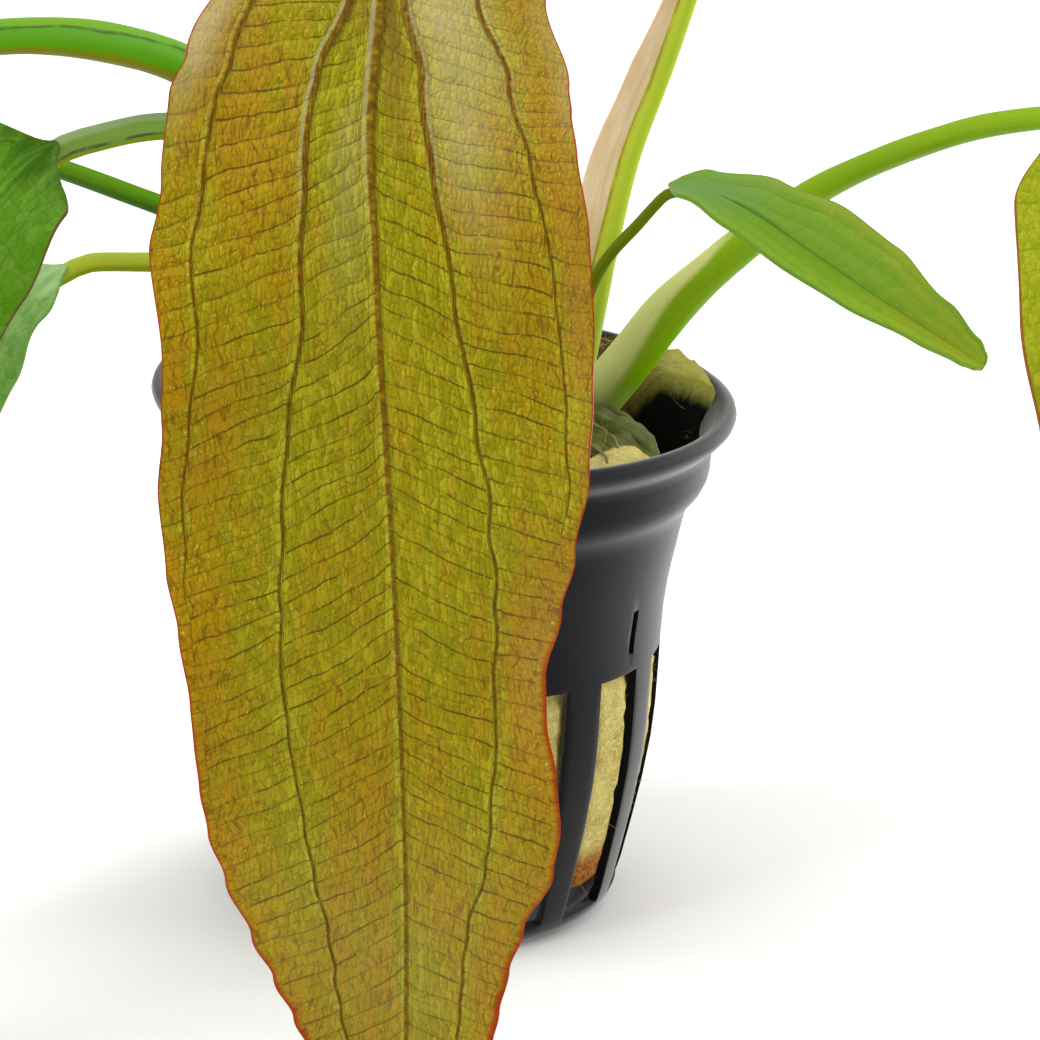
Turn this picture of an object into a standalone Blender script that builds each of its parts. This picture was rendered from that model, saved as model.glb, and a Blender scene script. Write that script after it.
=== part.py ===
"""A potted echinodorus: a slotted net pot, its rock wool plug, the rootstock and eight leaves.

Metres, +Z up. The origin is the centre of the pot's foot, on the surface that it stands on.
Every leaf is a stalk and a blade. Lengths in the tables below are in millimetres.
"""

import math

import bmesh
import bpy
from mathutils import Vector, noise

MM = 0.001

# The net pot: outer profile from the foot's centre to the rim, as (radius, height)
POT_OUTSIDE = [
    (16.4, 0.0), (17.6, 0.4), (18.8, 1.7), (19.4, 3.8), (20.15, 7.7), (20.9, 12.0),
    (21.7, 18.0), (21.75, 27.0), (22.1, 32.8), (22.7, 36.5), (23.3, 39.8),
    (24.8, 42.3), (25.35, 43.9), (25.4, 46.5), (26.5, 47.7), (27.5, 48.9), (27.4, 50.0),
]
POT_RIM_INSIDE = [(25.9, 50.0), (25.2, 48.6)]
POT_WALL = 0.9
POT_FLOOR = 1.3
POT_FLOOR_ROUND = [(17.4, 0.7), (16.0, 0.0)]  # inside corner: radius, height above the floor's top
POT_SIDES = 42
SLOTS = 14
SLOT_WIDE_DEG = 15.6
SLOT_FROM_DEG = 54.7  # middle of the first slot, counted from the front towards +X
SLOT_LOW, SLOT_HIGH = 2.2, 26.6
SLOT_CUT = (17.0, 26.0)  # radii that the openings are cut between
SLIT_OFFSET_DEG = 3.8
SLIT_WIDE = 0.9
SLIT_LOW, SLIT_HIGH = 28.4, 32.8
FLOOR_HOLES = 7
FLOOR_HOLE_IN, FLOOR_HOLE_OUT, FLOOR_HOLE_DEG = 6.5, 13.0, 26.0

# The rock wool plug and the hollow beside the plant
WOOL_SIDES = 28
WOOL_FOOT = (9.0, 2.8)  # the rounded foot's radius and height
WOOL_LOW = 3.6
WOOL_TOP = 45.0
WOOL_WALL_GAP = 0.75  # clearance to the pot's wall
WOOL_RINGS = [6, 11, 17, 23, 29, 35, 39.6, 43]
# The plug's top from the wall inwards: radius, height over WOOL_TOP
WOOL_TOP_RINGS = [(23.6, 0.0), (20.4, 0.2), (16.6, -0.3), (9.0, -0.4)]
WOOL_CREST_FROM = 19.0  # only rings wider than this rise in a crest
WOOL_ROUGH = 0.35
WOOL_GRAIN = 0.22  # how close together the lumps lie, per millimetre
WOOL_TOP_GRAIN = 1.7  # and how much closer on the top
WOOL_LUMP, WOOL_LUMP_MOST = 0.9, 0.2  # the top's lumps: how high they would be, and where they are cut off
# Where the wool stands higher along the pot's wall: (direction, spread) in degrees, and the height
WOOL_CRESTS = [(116, 34, 4.0), (40, 15, 2.2)]
HOLLOW_AT = (19.0, -4.5)
HOLLOW_RADII = (6.2, 9.0, 17.0)
HOLLOW_HEIGHT = 46.0

# The rootstock that the stalks stand round
CROWN_AT = (6.5, -1.5)
CROWN_PROFILE = [(8.2, 45.6), (9.1, 46.0), (8.8, 46.7), (3.6, 47.1), (2.4, 49.4), (1.2, 50.6)]
CROWN_SIDES = 16

STALK_SIDES = 8
STALK_RINGS = 12
BLADE_ROWS = 17
BLADE_COLUMNS = 6
BLADE_THICK = 0.7
# A plain blade's outline: how fast it widens from its base and narrows to its tip
BLADE_RISE, BLADE_FALL = 0.55, 0.85
BLADE_BASE, BLADE_END = 1.1, 0.5  # least half width at the base and at the tip

GREEN = (0.19, 0.36, 0.05, 1)
YOUNG_GREEN = (0.30, 0.42, 0.06, 1)
OLIVE = (0.42, 0.33, 0.04, 1)
PALE_GREEN = (0.36, 0.48, 0.08, 1)

# For each leaf: the stalk's line from the rootstock up, its (across, through) sizes evenly spread
# from the foot to the top, the blade's line from its base to its tip, the way that the blade's upper
# face looks at its base, middle and tip, and its half widths: one number for a plain blade, or rows
# of (share of the length, left, right). Then the fold along the rib in degrees, the height and
# number of the margin's waves, and the colour.
LEAVES = {
    "front": dict(
        stalk=[(6.2, -7.2, 47.6), (6.2, -9, 62), (4.5, -14.5, 82), (0.6, -26, 100), (-4.9, -45.1, 110.1)],
        stalk_size=[(4.2, 3.2), (3.4, 2.7), (2.8, 2.3), (2.6, 2.0)],
        rib=[
            (-5, -45.5, 110.2), (-5.8, -58, 110.8), (-6.2, -69, 107.6), (-6.4, -78, 102.2),
            (-6.6, -84.7, 95), (-5.8, -88.5, 87.6), (-5, -90.5, 79.8), (-3.1, -92, 62.1),
            (-1.3, -92.5, 41), (-0.4, -93.5, 24), (0.1, -94.5, 8.5),
        ],
        face=[(0, -0.2, 1), (0, -1, 0.15), (0.05, -1, 0)],
        widths=[
            (0.0, 1.3, 1.3), (0.10, 6.0, 6.2), (0.18, 9.4, 9.6), (0.25, 11.8, 12.4),
            (0.305, 14.6, 14.8), (0.36, 15.6, 15.5), (0.41, 17.0, 16.1), (0.465, 16.2, 16.0),
            (0.53, 17.1, 15.4), (0.59, 17.0, 13.0), (0.65, 15.7, 11.0), (0.71, 15.3, 11.8),
            (0.75, 14.6, 11.6), (0.79, 12.3, 9.1), (0.83, 9.8, 7.4), (0.87, 7.4, 6.6),
            (0.93, 3.8, 3.6), (1.0, 0.5, 0.5),
        ],
        fold=8, wave=(0.9, 5.5), colour=OLIVE,
    ),
    "high_left": dict(
        stalk=[
            (0.6, -1.0, 47.6), (-2.5, -2.5, 58), (-11, -9, 73), (-22.6, -19, 83.2),
            (-30.4, -30, 88.2), (-38.4, -41, 90.7), (-45.7, -49.8, 90.7),
        ],
        stalk_size=[(4.6, 3.8), (4.0, 3.3), (3.5, 3.0), (2.7, 2.5)],
        rib=[
            (-46, -50.1, 90.7), (-55, -59, 88.6), (-64, -67, 80), (-71, -72, 66),
            (-76, -75, 49), (-79, -77, 31), (-81, -79, 13),
        ],
        face=[(-0.25, -0.2, 1), (-0.62, -0.75, 0.3), (-0.6, -0.8, 0.1)],
        widths=14.5, fold=10, wave=(0.9, 4.5), colour=OLIVE,
    ),
    "left": dict(
        stalk=[
            (2.4, -5.6, 47.6), (-0.5, -8, 58), (-9, -14.5, 71), (-19, -20, 78),
            (-26.1, -24.5, 79.3), (-33.7, -33.1, 78.9),
        ],
        stalk_size=[(3.6, 2.8), (2.8, 2.2), (2.4, 1.9), (2.3, 1.8)],
        rib=[
            (-34, -33.4, 78.8), (-36.6, -35.4, 77.2), (-39.8, -38, 74.2), (-45, -42, 67),
            (-50.5, -45.5, 57.5), (-55, -48.5, 46), (-58.5, -51, 33), (-60.5, -53, 20), (-61.5, -55, 9),
        ],
        face=[(0.2, -0.6, 0.8), (0.25, -0.8, 0.45), (0.1, -1, 0.2)],
        widths=[
            (0.0, 1.2, 1.2), (0.055, 7.4, 5.6), (0.16, 9.6, 7.6), (0.32, 10.6, 8.7), (0.5, 10.2, 8.9),
            (0.7, 7.8, 7.4), (0.88, 3.9, 3.7), (1.0, 0.5, 0.5),
        ],
        fold=6, wave=(0.12, 3.0), colour=GREEN,
    ),
    "low_left": dict(
        stalk=[
            (1.2, 2.8, 47.6), (-2.4, 2.0, 54), (-9.4, -3.4, 60.5), (-18, -9, 63.6),
            (-27.1, -14, 64.5), (-32.15, -17.6, 65.2),
        ],
        stalk_size=[(2.6, 2.2), (2.0, 1.7), (1.6, 1.4), (1.4, 1.2)],
        rib=[
            (-32.5, -17.8, 65.2), (-36.4, -20, 63.6), (-40.4, -22, 59.6), (-45, -24.5, 52),
            (-49.4, -27, 42), (-52.4, -29.5, 29), (-54, -32, 16),
        ],
        face=[(0.1, -0.5, 0.9), (0.3, -0.85, 0.4), (0.2, -1, 0.2)],
        widths=[
            (0.0, 1.0, 1.0), (0.08, 3.4, 3.0), (0.2, 5.2, 4.7), (0.4, 6.2, 5.5), (0.65, 4.8, 4.6),
            (0.85, 2.6, 2.5), (1.0, 0.5, 0.5),
        ],
        fold=8, wave=(0.3, 3.5), colour=GREEN,
    ),
    "back_left": dict(
        stalk=[
            (5.0, 4.6, 47.6), (1, 4.6, 54), (-9, 2, 60), (-20, -2, 64.4),
            (-28.1, -1, 66.7), (-36.6, 5, 67.7), (-45, 15, 67.2), (-50.85, 22.5, 66.1),
        ],
        stalk_size=[(2.4, 2.1), (2.0, 1.8), (1.9, 1.7), (1.6, 1.4)],
        rib=[
            (-51.1, 22.8, 66.0), (-57, 30, 63), (-62.5, 37.5, 56), (-66.5, 44, 46),
            (-69, 49, 34), (-70, 53, 21),
        ],
        face=[(-0.2, 0.1, 1), (-0.6, 0.65, 0.5), (-0.7, 0.75, 0.2)],
        widths=9.0, fold=8, wave=(0.5, 3.5), colour=GREEN,
    ),
    "tall": dict(
        stalk=[
            (11.2, 3.2, 47.6), (12.2, 3.6, 57), (13.4, 5, 64.7), (14.8, 8, 70.8),
            (17.0, 11, 76.5), (20.3, 15, 84.9), (25.2, 22, 99), (30.85, 30.6, 111.6),
        ],
        stalk_size=[
            (5.0, 3.4), (5.2, 3.2), (5.0, 2.8), (4.3, 2.6), (3.2, 2.4), (2.6, 2.2), (2.3, 2.1), (2.1, 2.0),
        ],
        rib=[
            (31.1, 30.9, 111.9), (37, 41, 120), (43.5, 53, 123), (50, 65, 119),
            (55, 76, 109), (58.5, 85, 96), (60.5, 92, 82),
        ],
        face=[(-0.1, -0.3, 1), (0.35, 0.55, 0.9), (0.55, 0.85, 0.35)],
        widths=13.0, fold=9, wave=(0.8, 4.0), colour=OLIVE,
    ),
    "right": dict(
        stalk=[
            (12.7, -3.0, 47.9), (14.0, -3.1, 50.4), (16.1, -3.6, 53.2), (19.2, -5.2, 58.6), (23.0, -8.4, 64.2),
            (32.2, -18, 75.5), (42.5, -35, 85.5), (50.3, -48.4, 90.7), (53.9, -54.8, 92.65),
        ],
        stalk_size=[
            (4.9, 3.6), (4.9, 3.4), (3.8, 2.8), (2.7, 2.3), (2.3, 2.1), (2.1, 2.0), (2.0, 1.9), (1.9, 1.8),
        ],
        rib=[
            (54.1, -55.2, 92.7), (56, -64, 94.3), (57.2, -72, 92.9), (57.6, -78.5, 88),
            (58, -83.5, 80), (59.2, -86.5, 68.6), (60.7, -88, 55), (62.2, -88, 38.5), (63, -87, 18),
        ],
        face=[(0, -0.2, 1), (0, -1, 0.15), (0.05, -1, 0)],
        widths=[
            (0.0, 1.3, 1.3), (0.08, 7.4, 7.4), (0.16, 12.2, 12.0), (0.24, 15.3, 15.4), (0.33, 15.2, 15.2),
            (0.42, 13.6, 14.0), (0.55, 11.6, 11.8), (0.75, 8.0, 8.2), (0.9, 3.6, 3.8), (1.0, 0.5, 0.5),
        ],
        fold=8, wave=(0.8, 4.5), colour=OLIVE,
    ),
    "small": dict(
        stalk=[
            (10.4, -7.2, 47.6), (10.6, -8.8, 55), (13.2, -13, 65.3), (16.6, -18, 71.7),
            (18.7, -21.9, 75.6),
        ],
        stalk_size=[(2.2, 1.8), (1.5, 1.3), (1.1, 1.0), (1.0, 0.9)],
        rib=[
            (19.0, -22.2, 75.9), (22, -25.4, 76.5), (26, -29, 75.5), (31, -33, 73.3),
            (36.5, -37, 70.8), (41.5, -40, 68.6), (45.4, -42, 66.8),
        ],
        face=[(-0.2, -0.55, 0.85), (-0.05, -0.55, 0.82), (-0.05, -0.6, 0.8)],
        widths=[
            (0.0, 0.8, 0.8), (0.12, 3.0, 2.1), (0.3, 4.8, 3.9), (0.48, 5.5, 5.0), (0.65, 5.2, 4.7),
            (0.84, 3.3, 3.0), (0.95, 1.9, 1.8), (1.0, 0.9, 0.9),
        ],
        fold=30, wave=(0.1, 2.0), colour=YOUNG_GREEN,
    ),
}

# Two withered leaf bases at the foot of the right stalk: line, and (across, through) along it
OLD_BASES = {
    "old_leaf_base_1": (
        [(12.9, -6.9, 47.8), (14.5, -7.8, 49.5), (17.4, -9.8, 49.1), (19.8, -12.2, 47.8)],
        [(2.4, 0.9), (4.4, 0.9), (4.0, 0.9), (2.0, 0.8)],
    ),
    "old_leaf_base_2": (
        [(9.4, -10.0, 47.5), (11.8, -11.4, 49.6), (14.4, -14.0, 49.7), (16.0, -16.8, 48.3)],
        [(1.6, 0.9), (2.0, 0.9), (1.4, 0.8)],
    ),
}


def clear_scene():
    for obj in list(bpy.data.objects):
        bpy.data.objects.remove(obj)


def material(name, colour, roughness):
    made = bpy.data.materials.new(name)
    made.use_nodes = True
    shader = made.node_tree.nodes["Principled BSDF"]
    shader.inputs["Base Color"].default_value = colour
    shader.inputs["Roughness"].default_value = roughness
    return made


def add_object(name, bm, finish=None, smooth=True):
    """A new object from a bmesh in millimetres, closed and facing out."""
    bmesh.ops.recalc_face_normals(bm, faces=bm.faces)
    bmesh.ops.scale(bm, vec=(MM, MM, MM), verts=bm.verts)
    mesh = bpy.data.meshes.new(name)
    bm.to_mesh(mesh)
    bm.free()
    obj = bpy.data.objects.new(name, mesh)
    bpy.context.scene.collection.objects.link(obj)
    if finish:
        mesh.materials.append(finish)
    if smooth:
        mesh.shade_smooth()
        mesh.set_sharp_from_angle(angle=math.radians(40))
    return obj


def line_through(points, count):
    """A smooth curve through the points, as count places at even distances, each with its direction."""
    points = [Vector(p) for p in points]
    ends = [2 * points[0] - points[1], *points, 2 * points[-1] - points[-2]]
    steps = 24
    fine = []
    for before, start, stop, after in zip(ends, ends[1:], ends[2:], ends[3:]):
        for k in range(steps):
            t = k / steps
            fine.append(
                0.5 * (
                    2 * start + (stop - before) * t
                    + (2 * before - 5 * start + 4 * stop - after) * t ** 2
                    + (3 * start - before - 3 * stop + after) * t ** 3
                )
            )
    fine.append(points[-1])
    reached = [0.0]
    for a, b in zip(fine, fine[1:]):
        reached.append(reached[-1] + (b - a).length)
    places, at = [], 0
    for k in range(count):
        want = reached[-1] * k / (count - 1)
        while at < len(fine) - 2 and reached[at + 1] < want:
            at += 1
        share = (want - reached[at]) / (reached[at + 1] - reached[at])
        places.append(fine[at].lerp(fine[at + 1], share))
    ahead = [places[min(k + 1, count - 1)] - places[max(k - 1, 0)] for k in range(count)]
    return places, [d.normalized() for d in ahead]


def between(values, t):
    """A vector read from evenly spread vectors, eased from one to the next."""
    x = t * (len(values) - 1)
    k = min(int(x), len(values) - 2)
    share = x - k
    share = share * share * (3 - 2 * share)
    return values[k] * (1 - share) + values[k + 1] * share


def outline(widths, t):
    """The blade's half widths to the left and the right at share t of its length."""
    if isinstance(widths, (int, float)):
        peak = BLADE_RISE / (BLADE_RISE + BLADE_FALL)
        shape = (t / peak) ** BLADE_RISE * ((1 - t) / (1 - peak)) ** BLADE_FALL
        wide = max(widths * shape, BLADE_BASE if t < 0.5 else BLADE_END)
        return wide, wide
    for (t0, left0, right0), (t1, left1, right1) in zip(widths, widths[1:]):
        if t <= t1:
            share = (t - t0) / (t1 - t0)
            share = share * share * (3 - 2 * share)
            return left0 + (left1 - left0) * share, right0 + (right1 - right0) * share
    return widths[-1][1:]


def loft(rings):
    """Faces between neighbouring rings of points, capped at both ends."""
    bm = bmesh.new()
    loops = []
    for ring in rings:
        verts = [bm.verts.new(p) for p in ring]
        loops.append(verts)
    count = len(loops[0])
    for lower, upper in zip(loops, loops[1:]):
        for k in range(count):
            n = (k + 1) % count
            bm.faces.new((lower[k], lower[n], upper[n], upper[k]))
    bm.faces.new(reversed(loops[0]))
    bm.faces.new(loops[-1])
    return bm


def stalk(name, line, size, finish, rings=STALK_RINGS, sides=STALK_SIDES, side_hint=(0.3, -1, 0.2)):
    """An oval stem along a line, from (across, through) sizes. It is thin in the side hint's direction."""
    places, ahead = line_through(line, rings)
    sizes = [Vector(s) for s in size]
    hint = Vector(side_hint)
    made = []
    for k, (place, way) in enumerate(zip(places, ahead)):
        wide, thick = between(sizes, k / (rings - 1))
        through = (hint - hint.dot(way) * way).normalized()
        across = way.cross(through)
        made.append([
            place
            + across * (wide / 2 * math.cos(2 * math.pi * s / sides))
            + through * (thick / 2 * math.sin(2 * math.pi * s / sides))
            for s in range(sides)
        ])
    return add_object(name, loft(made), finish)


def blade(name, leaf, finish):
    """A leaf blade: a sheet on its rib's line, folded along the rib, waved at its margins, made thick."""
    places, ahead = line_through(leaf["rib"], BLADE_ROWS)
    faces = [Vector(f) for f in leaf["face"]]
    fold = math.radians(leaf["fold"])
    height, waves = leaf["wave"]
    bm = bmesh.new()
    rows = []
    for k, (place, way) in enumerate(zip(places, ahead)):
        t = k / (BLADE_ROWS - 1)
        face = between(faces, t)
        face = (face - face.dot(way) * way).normalized()
        right = face.cross(way)
        left_wide, right_wide = outline(leaf["widths"], t)
        row = []
        for c in range(BLADE_COLUMNS + 1):
            s = 2 * c / BLADE_COLUMNS - 1
            wide = right_wide if s > 0 else left_wide
            ripple = height * math.sin(math.pi * t) * s * s * math.sin(2 * math.pi * waves * t + 2 * s)
            lift = abs(s) * wide * math.sin(fold) + ripple
            row.append(bm.verts.new(place + right * (s * wide * math.cos(fold)) + face * lift))
        rows.append(row)
    for upper, lower in zip(rows, rows[1:]):
        for c in range(BLADE_COLUMNS):
            bm.faces.new((upper[c], upper[c + 1], lower[c + 1], lower[c]))
    obj = add_object(name, bm, finish)
    solid = obj.modifiers.new("Thickness", "SOLIDIFY")
    solid.thickness = BLADE_THICK * MM
    solid.offset = 0
    return obj


def turned(profile, sides, wobble=None, centre=(0, 0)):
    """A closed body turned about the upright line through centre. The profile runs from below to above."""
    rings = []
    for radius, height in profile:
        ring = []
        for s in range(sides):
            a = 2 * math.pi * s / sides
            r, h = radius, height
            if wobble:
                r, h = wobble(a, radius, height)
            ring.append((centre[0] + r * math.sin(a), centre[1] - r * math.cos(a), h))
        rings.append(ring)
    return loft(rings)


def wedge(bm, angle_deg, wide_deg, inner, outer, low, high):
    """A keystone-shaped block, as an opening is cut by, standing at an angle round the pot."""
    corners = []
    for z in (low, high):
        for radius, side in ((inner, -1), (outer, -1), (outer, 1), (inner, 1)):
            a = math.radians(angle_deg + side * wide_deg / 2)
            corners.append(bm.verts.new((radius * math.sin(a), -radius * math.cos(a), z)))
    lower, upper = corners[:4], corners[4:]
    bm.faces.new(lower)
    bm.faces.new(upper)
    for k in range(4):
        n = (k + 1) % 4
        bm.faces.new((lower[k], lower[n], upper[n], upper[k]))


def cutter(name, bm):
    obj = add_object(name, bm, smooth=False)
    obj.hide_render = True
    obj.display_type = "WIRE"
    return obj


def cut(obj, tool):
    made = obj.modifiers.new("Cut " + tool.name, "BOOLEAN")
    made.object = tool
    made.operation = "DIFFERENCE"


def net_pot(finish):
    """The pot's wall, floor and flared rim in one piece, with its slots, slits and floor holes."""
    below_rim = POT_OUTSIDE[:-3]
    inside = [(r - POT_WALL, h) for r, h in reversed(below_rim) if h > POT_FLOOR + 1]
    inside += [(r, POT_FLOOR + h) for r, h in POT_FLOOR_ROUND]
    profile = [*POT_OUTSIDE, *POT_RIM_INSIDE, *inside]
    pot = add_object("net_pot", turned(profile, POT_SIDES), finish)

    holes = bmesh.new()
    for k in range(SLOTS):
        angle = SLOT_FROM_DEG + 360 / SLOTS * k
        wedge(holes, angle, SLOT_WIDE_DEG, *SLOT_CUT, SLOT_LOW, SLOT_HIGH)
        if k % 2 == 0:
            slit_deg = math.degrees(SLIT_WIDE / inner_radius(SLIT_LOW))
            wedge(holes, angle + SLIT_OFFSET_DEG, slit_deg, *SLOT_CUT, SLIT_LOW, SLIT_HIGH)
    for k in range(FLOOR_HOLES):
        wedge(holes, 360 / FLOOR_HOLES * k, FLOOR_HOLE_DEG, FLOOR_HOLE_IN, FLOOR_HOLE_OUT, -1, POT_FLOOR + 1)
    cut(pot, cutter("pot_openings", holes))
    return pot


def inner_radius(height):
    """The pot's inside radius at a height."""
    for (r0, h0), (r1, h1) in zip(POT_OUTSIDE, POT_OUTSIDE[1:]):
        if h0 <= height <= h1:
            return r0 + (r1 - r0) * (height - h0) / (h1 - h0) - POT_WALL
    return POT_OUTSIDE[0][0] - POT_WALL


def rock_wool(finish):
    """The wool plug, a little rough all round, with the hollow beside the plant left open."""
    profile = [WOOL_FOOT]
    profile += [(inner_radius(h) - WOOL_WALL_GAP, h) for h in (WOOL_LOW, *WOOL_RINGS)]
    profile += [(r, WOOL_TOP + h) for r, h in WOOL_TOP_RINGS]

    def rough(angle, radius, height):
        spot = Vector((radius * math.sin(angle), radius * math.cos(angle), height)) * WOOL_GRAIN
        radius -= abs(noise.noise(spot)) * WOOL_ROUGH
        if height > WOOL_TOP - 1:
            height += min(noise.noise(spot * WOOL_TOP_GRAIN) * WOOL_LUMP, WOOL_LUMP_MOST)
            if radius > WOOL_CREST_FROM:
                for direction, spread, rise in WOOL_CRESTS:
                    height += rise * math.exp(-((math.degrees(angle) - direction) / spread) ** 2)
        return radius, height

    plug = add_object("rock_wool_plug", turned(profile, WOOL_SIDES, rough), finish)
    hollow = bmesh.new()
    bmesh.ops.create_icosphere(hollow, subdivisions=2, radius=1)
    bmesh.ops.scale(hollow, vec=HOLLOW_RADII, verts=hollow.verts)
    bmesh.ops.translate(hollow, vec=(*HOLLOW_AT, HOLLOW_HEIGHT), verts=hollow.verts)
    cut(plug, cutter("wool_hollow", hollow))
    return plug


def main():
    clear_scene()
    net_pot(material("pot_plastic", (0.035, 0.038, 0.042, 1), 0.42))
    rock_wool(material("rock_wool", (0.42, 0.37, 0.13, 1), 0.95))
    crown = turned(CROWN_PROFILE, CROWN_SIDES, centre=CROWN_AT)
    add_object("rootstock", crown, material("rootstock", (0.30, 0.33, 0.12, 1), 0.6))

    stalk_finish = material("leaf_stalk", PALE_GREEN, 0.4)
    finishes = {}
    for name, leaf in LEAVES.items():
        colour = leaf["colour"]
        if colour not in finishes:
            finishes[colour] = material("leaf_blade", colour, 0.4)
        stalk(name + "_leaf_stalk", leaf["stalk"], leaf["stalk_size"], stalk_finish)
        blade(name + "_leaf_blade", leaf, finishes[colour])

    withered = material("old_leaf_base", (0.45, 0.47, 0.30, 1), 0.7)
    for name, (line, size) in OLD_BASES.items():
        stalk(name, line, size, withered, rings=5, sides=6, side_hint=(0, 0, 1))


main()
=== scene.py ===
"""The looks of the potted echinodorus: its leaves, stalks, rock wool and net pot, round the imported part.

Metres, +Z up. Lengths in the tables are in millimetres, as in the part.
"""

import math
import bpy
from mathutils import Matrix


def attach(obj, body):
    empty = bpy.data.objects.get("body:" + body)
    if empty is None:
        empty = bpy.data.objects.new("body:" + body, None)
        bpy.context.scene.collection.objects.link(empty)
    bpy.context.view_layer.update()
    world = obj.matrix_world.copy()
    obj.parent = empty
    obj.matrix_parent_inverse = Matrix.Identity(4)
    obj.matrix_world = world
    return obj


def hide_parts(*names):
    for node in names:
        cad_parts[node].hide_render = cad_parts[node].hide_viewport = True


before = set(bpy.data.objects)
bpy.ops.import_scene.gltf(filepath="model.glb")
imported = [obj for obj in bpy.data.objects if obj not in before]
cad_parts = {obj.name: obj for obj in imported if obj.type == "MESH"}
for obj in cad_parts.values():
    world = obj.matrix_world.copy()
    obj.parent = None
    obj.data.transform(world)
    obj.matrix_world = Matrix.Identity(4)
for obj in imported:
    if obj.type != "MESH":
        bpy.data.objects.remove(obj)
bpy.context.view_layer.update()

from types import SimpleNamespace

import bpy
import numpy as np
from mathutils import Matrix, Vector, noise

MM = 0.001

# The camera that took the photo, and its middle: place, and the ways right, up and ahead
CAMERA_AT = (0.0, -430.667, 180.484)
CAMERA_RIGHT = (0.99850023, 0.00023077, 0.05474713)
CAMERA_UP = (-0.05201466, 0.31599972, 0.94733239)
CAMERA_AHEAD = (0.01708146, 0.94875926, -0.31553779)
CAMERA_LENS = 165.79

# The net pot, as in the part, with finer rounds
POT_OUTSIDE = [
    (16.4, 0), (17.3, 0.12), (18.1, 0.6), (18.7, 1.5), (19.1, 2.6), (19.4, 3.8), (20.15, 7.7),
    (20.9, 12), (21.5, 16.6), (21.7, 20), (21.75, 24), (21.75, 27), (21.85, 30.2),
    (22.1, 32.8), (22.4, 34.8), (22.75, 36.8), (23.05, 38.6), (23.3, 39.9), (23.65, 40.9),
    (24.3, 41.8), (24.85, 42.5), (25.2, 43.3), (25.35, 44.1), (25.38, 45.8), (25.5, 46.7),
    (26.1, 47.4), (26.8, 48), (27.3, 48.6), (27.5, 49.2), (27.35, 49.75), (27, 50),
]
POT_RIM_INSIDE = [(26.4, 50), (26, 49.75), (25.6, 49.2), (25.1, 48)]
POT_WALL = 0.9
POT_FLOOR = 1.3
POT_SIDES = 168
SLOTS = 14
SLOT_WIDE_DEG = 15.6
SLOT_FROM_DEG = 54.7
SLOT_LOW, SLOT_HIGH = 2.2, 26.6
SLIT_OFFSET_DEG = 3.8
SLIT_WIDE = 0.9
SLIT_LOW, SLIT_HIGH = 28.4, 32.8
FLOOR_HOLES = 7
FLOOR_HOLE_IN, FLOOR_HOLE_OUT, FLOOR_HOLE_DEG = 6.5, 13.0, 26.0

CROWN_AT = (6.5, -1.5)

# Where the lateral veins run, as shares of the half width along the blade: left outer, left inner,
# right inner, right outer
PLAIN_VEINS = [
    (t, outer, inner, inner, outer) for t, outer, inner in (
        (0, 0.5, 0.1), (0.12, 0.56, 0.14), (0.3, 0.68, 0.3), (0.5, 0.76, 0.42), (0.7, 0.84, 0.5),
        (0.85, 0.93, 0.55), (1, 0.97, 0.6),
    )
]
FRONT_VEINS = [
    (0, 0.5, 0.05, 0.05, 0.4), (0.1, 0.62, 0.06, 0.06, 0.48), (0.17, 0.72, 0.1, 0.09, 0.53),
    (0.25, 0.78, 0.2, 0.157, 0.6), (0.306, 0.77, 0.3, 0.26, 0.7), (0.365, 0.805, 0.32, 0.315, 0.78),
    (0.43, 0.835, 0.35, 0.37, 0.835), (0.5, 0.89, 0.44, 0.45, 0.885), (0.556, 0.913, 0.48, 0.54, 0.93),
    (0.6, 0.955, 0.53, 0.615, 0.97), (0.643, 0.97, 0.57, 0.67, 0.975), (0.674, 0.975, 0.555, 0.68, 0.975),
    (0.73, 0.975, 0.52, 0.585, 0.975), (0.79, 0.975, 0.52, 0.555, 0.975), (0.87, 0.975, 0.62, 0.63, 0.975),
    (1, 0.98, 0.72, 0.72, 0.98),
]

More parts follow.
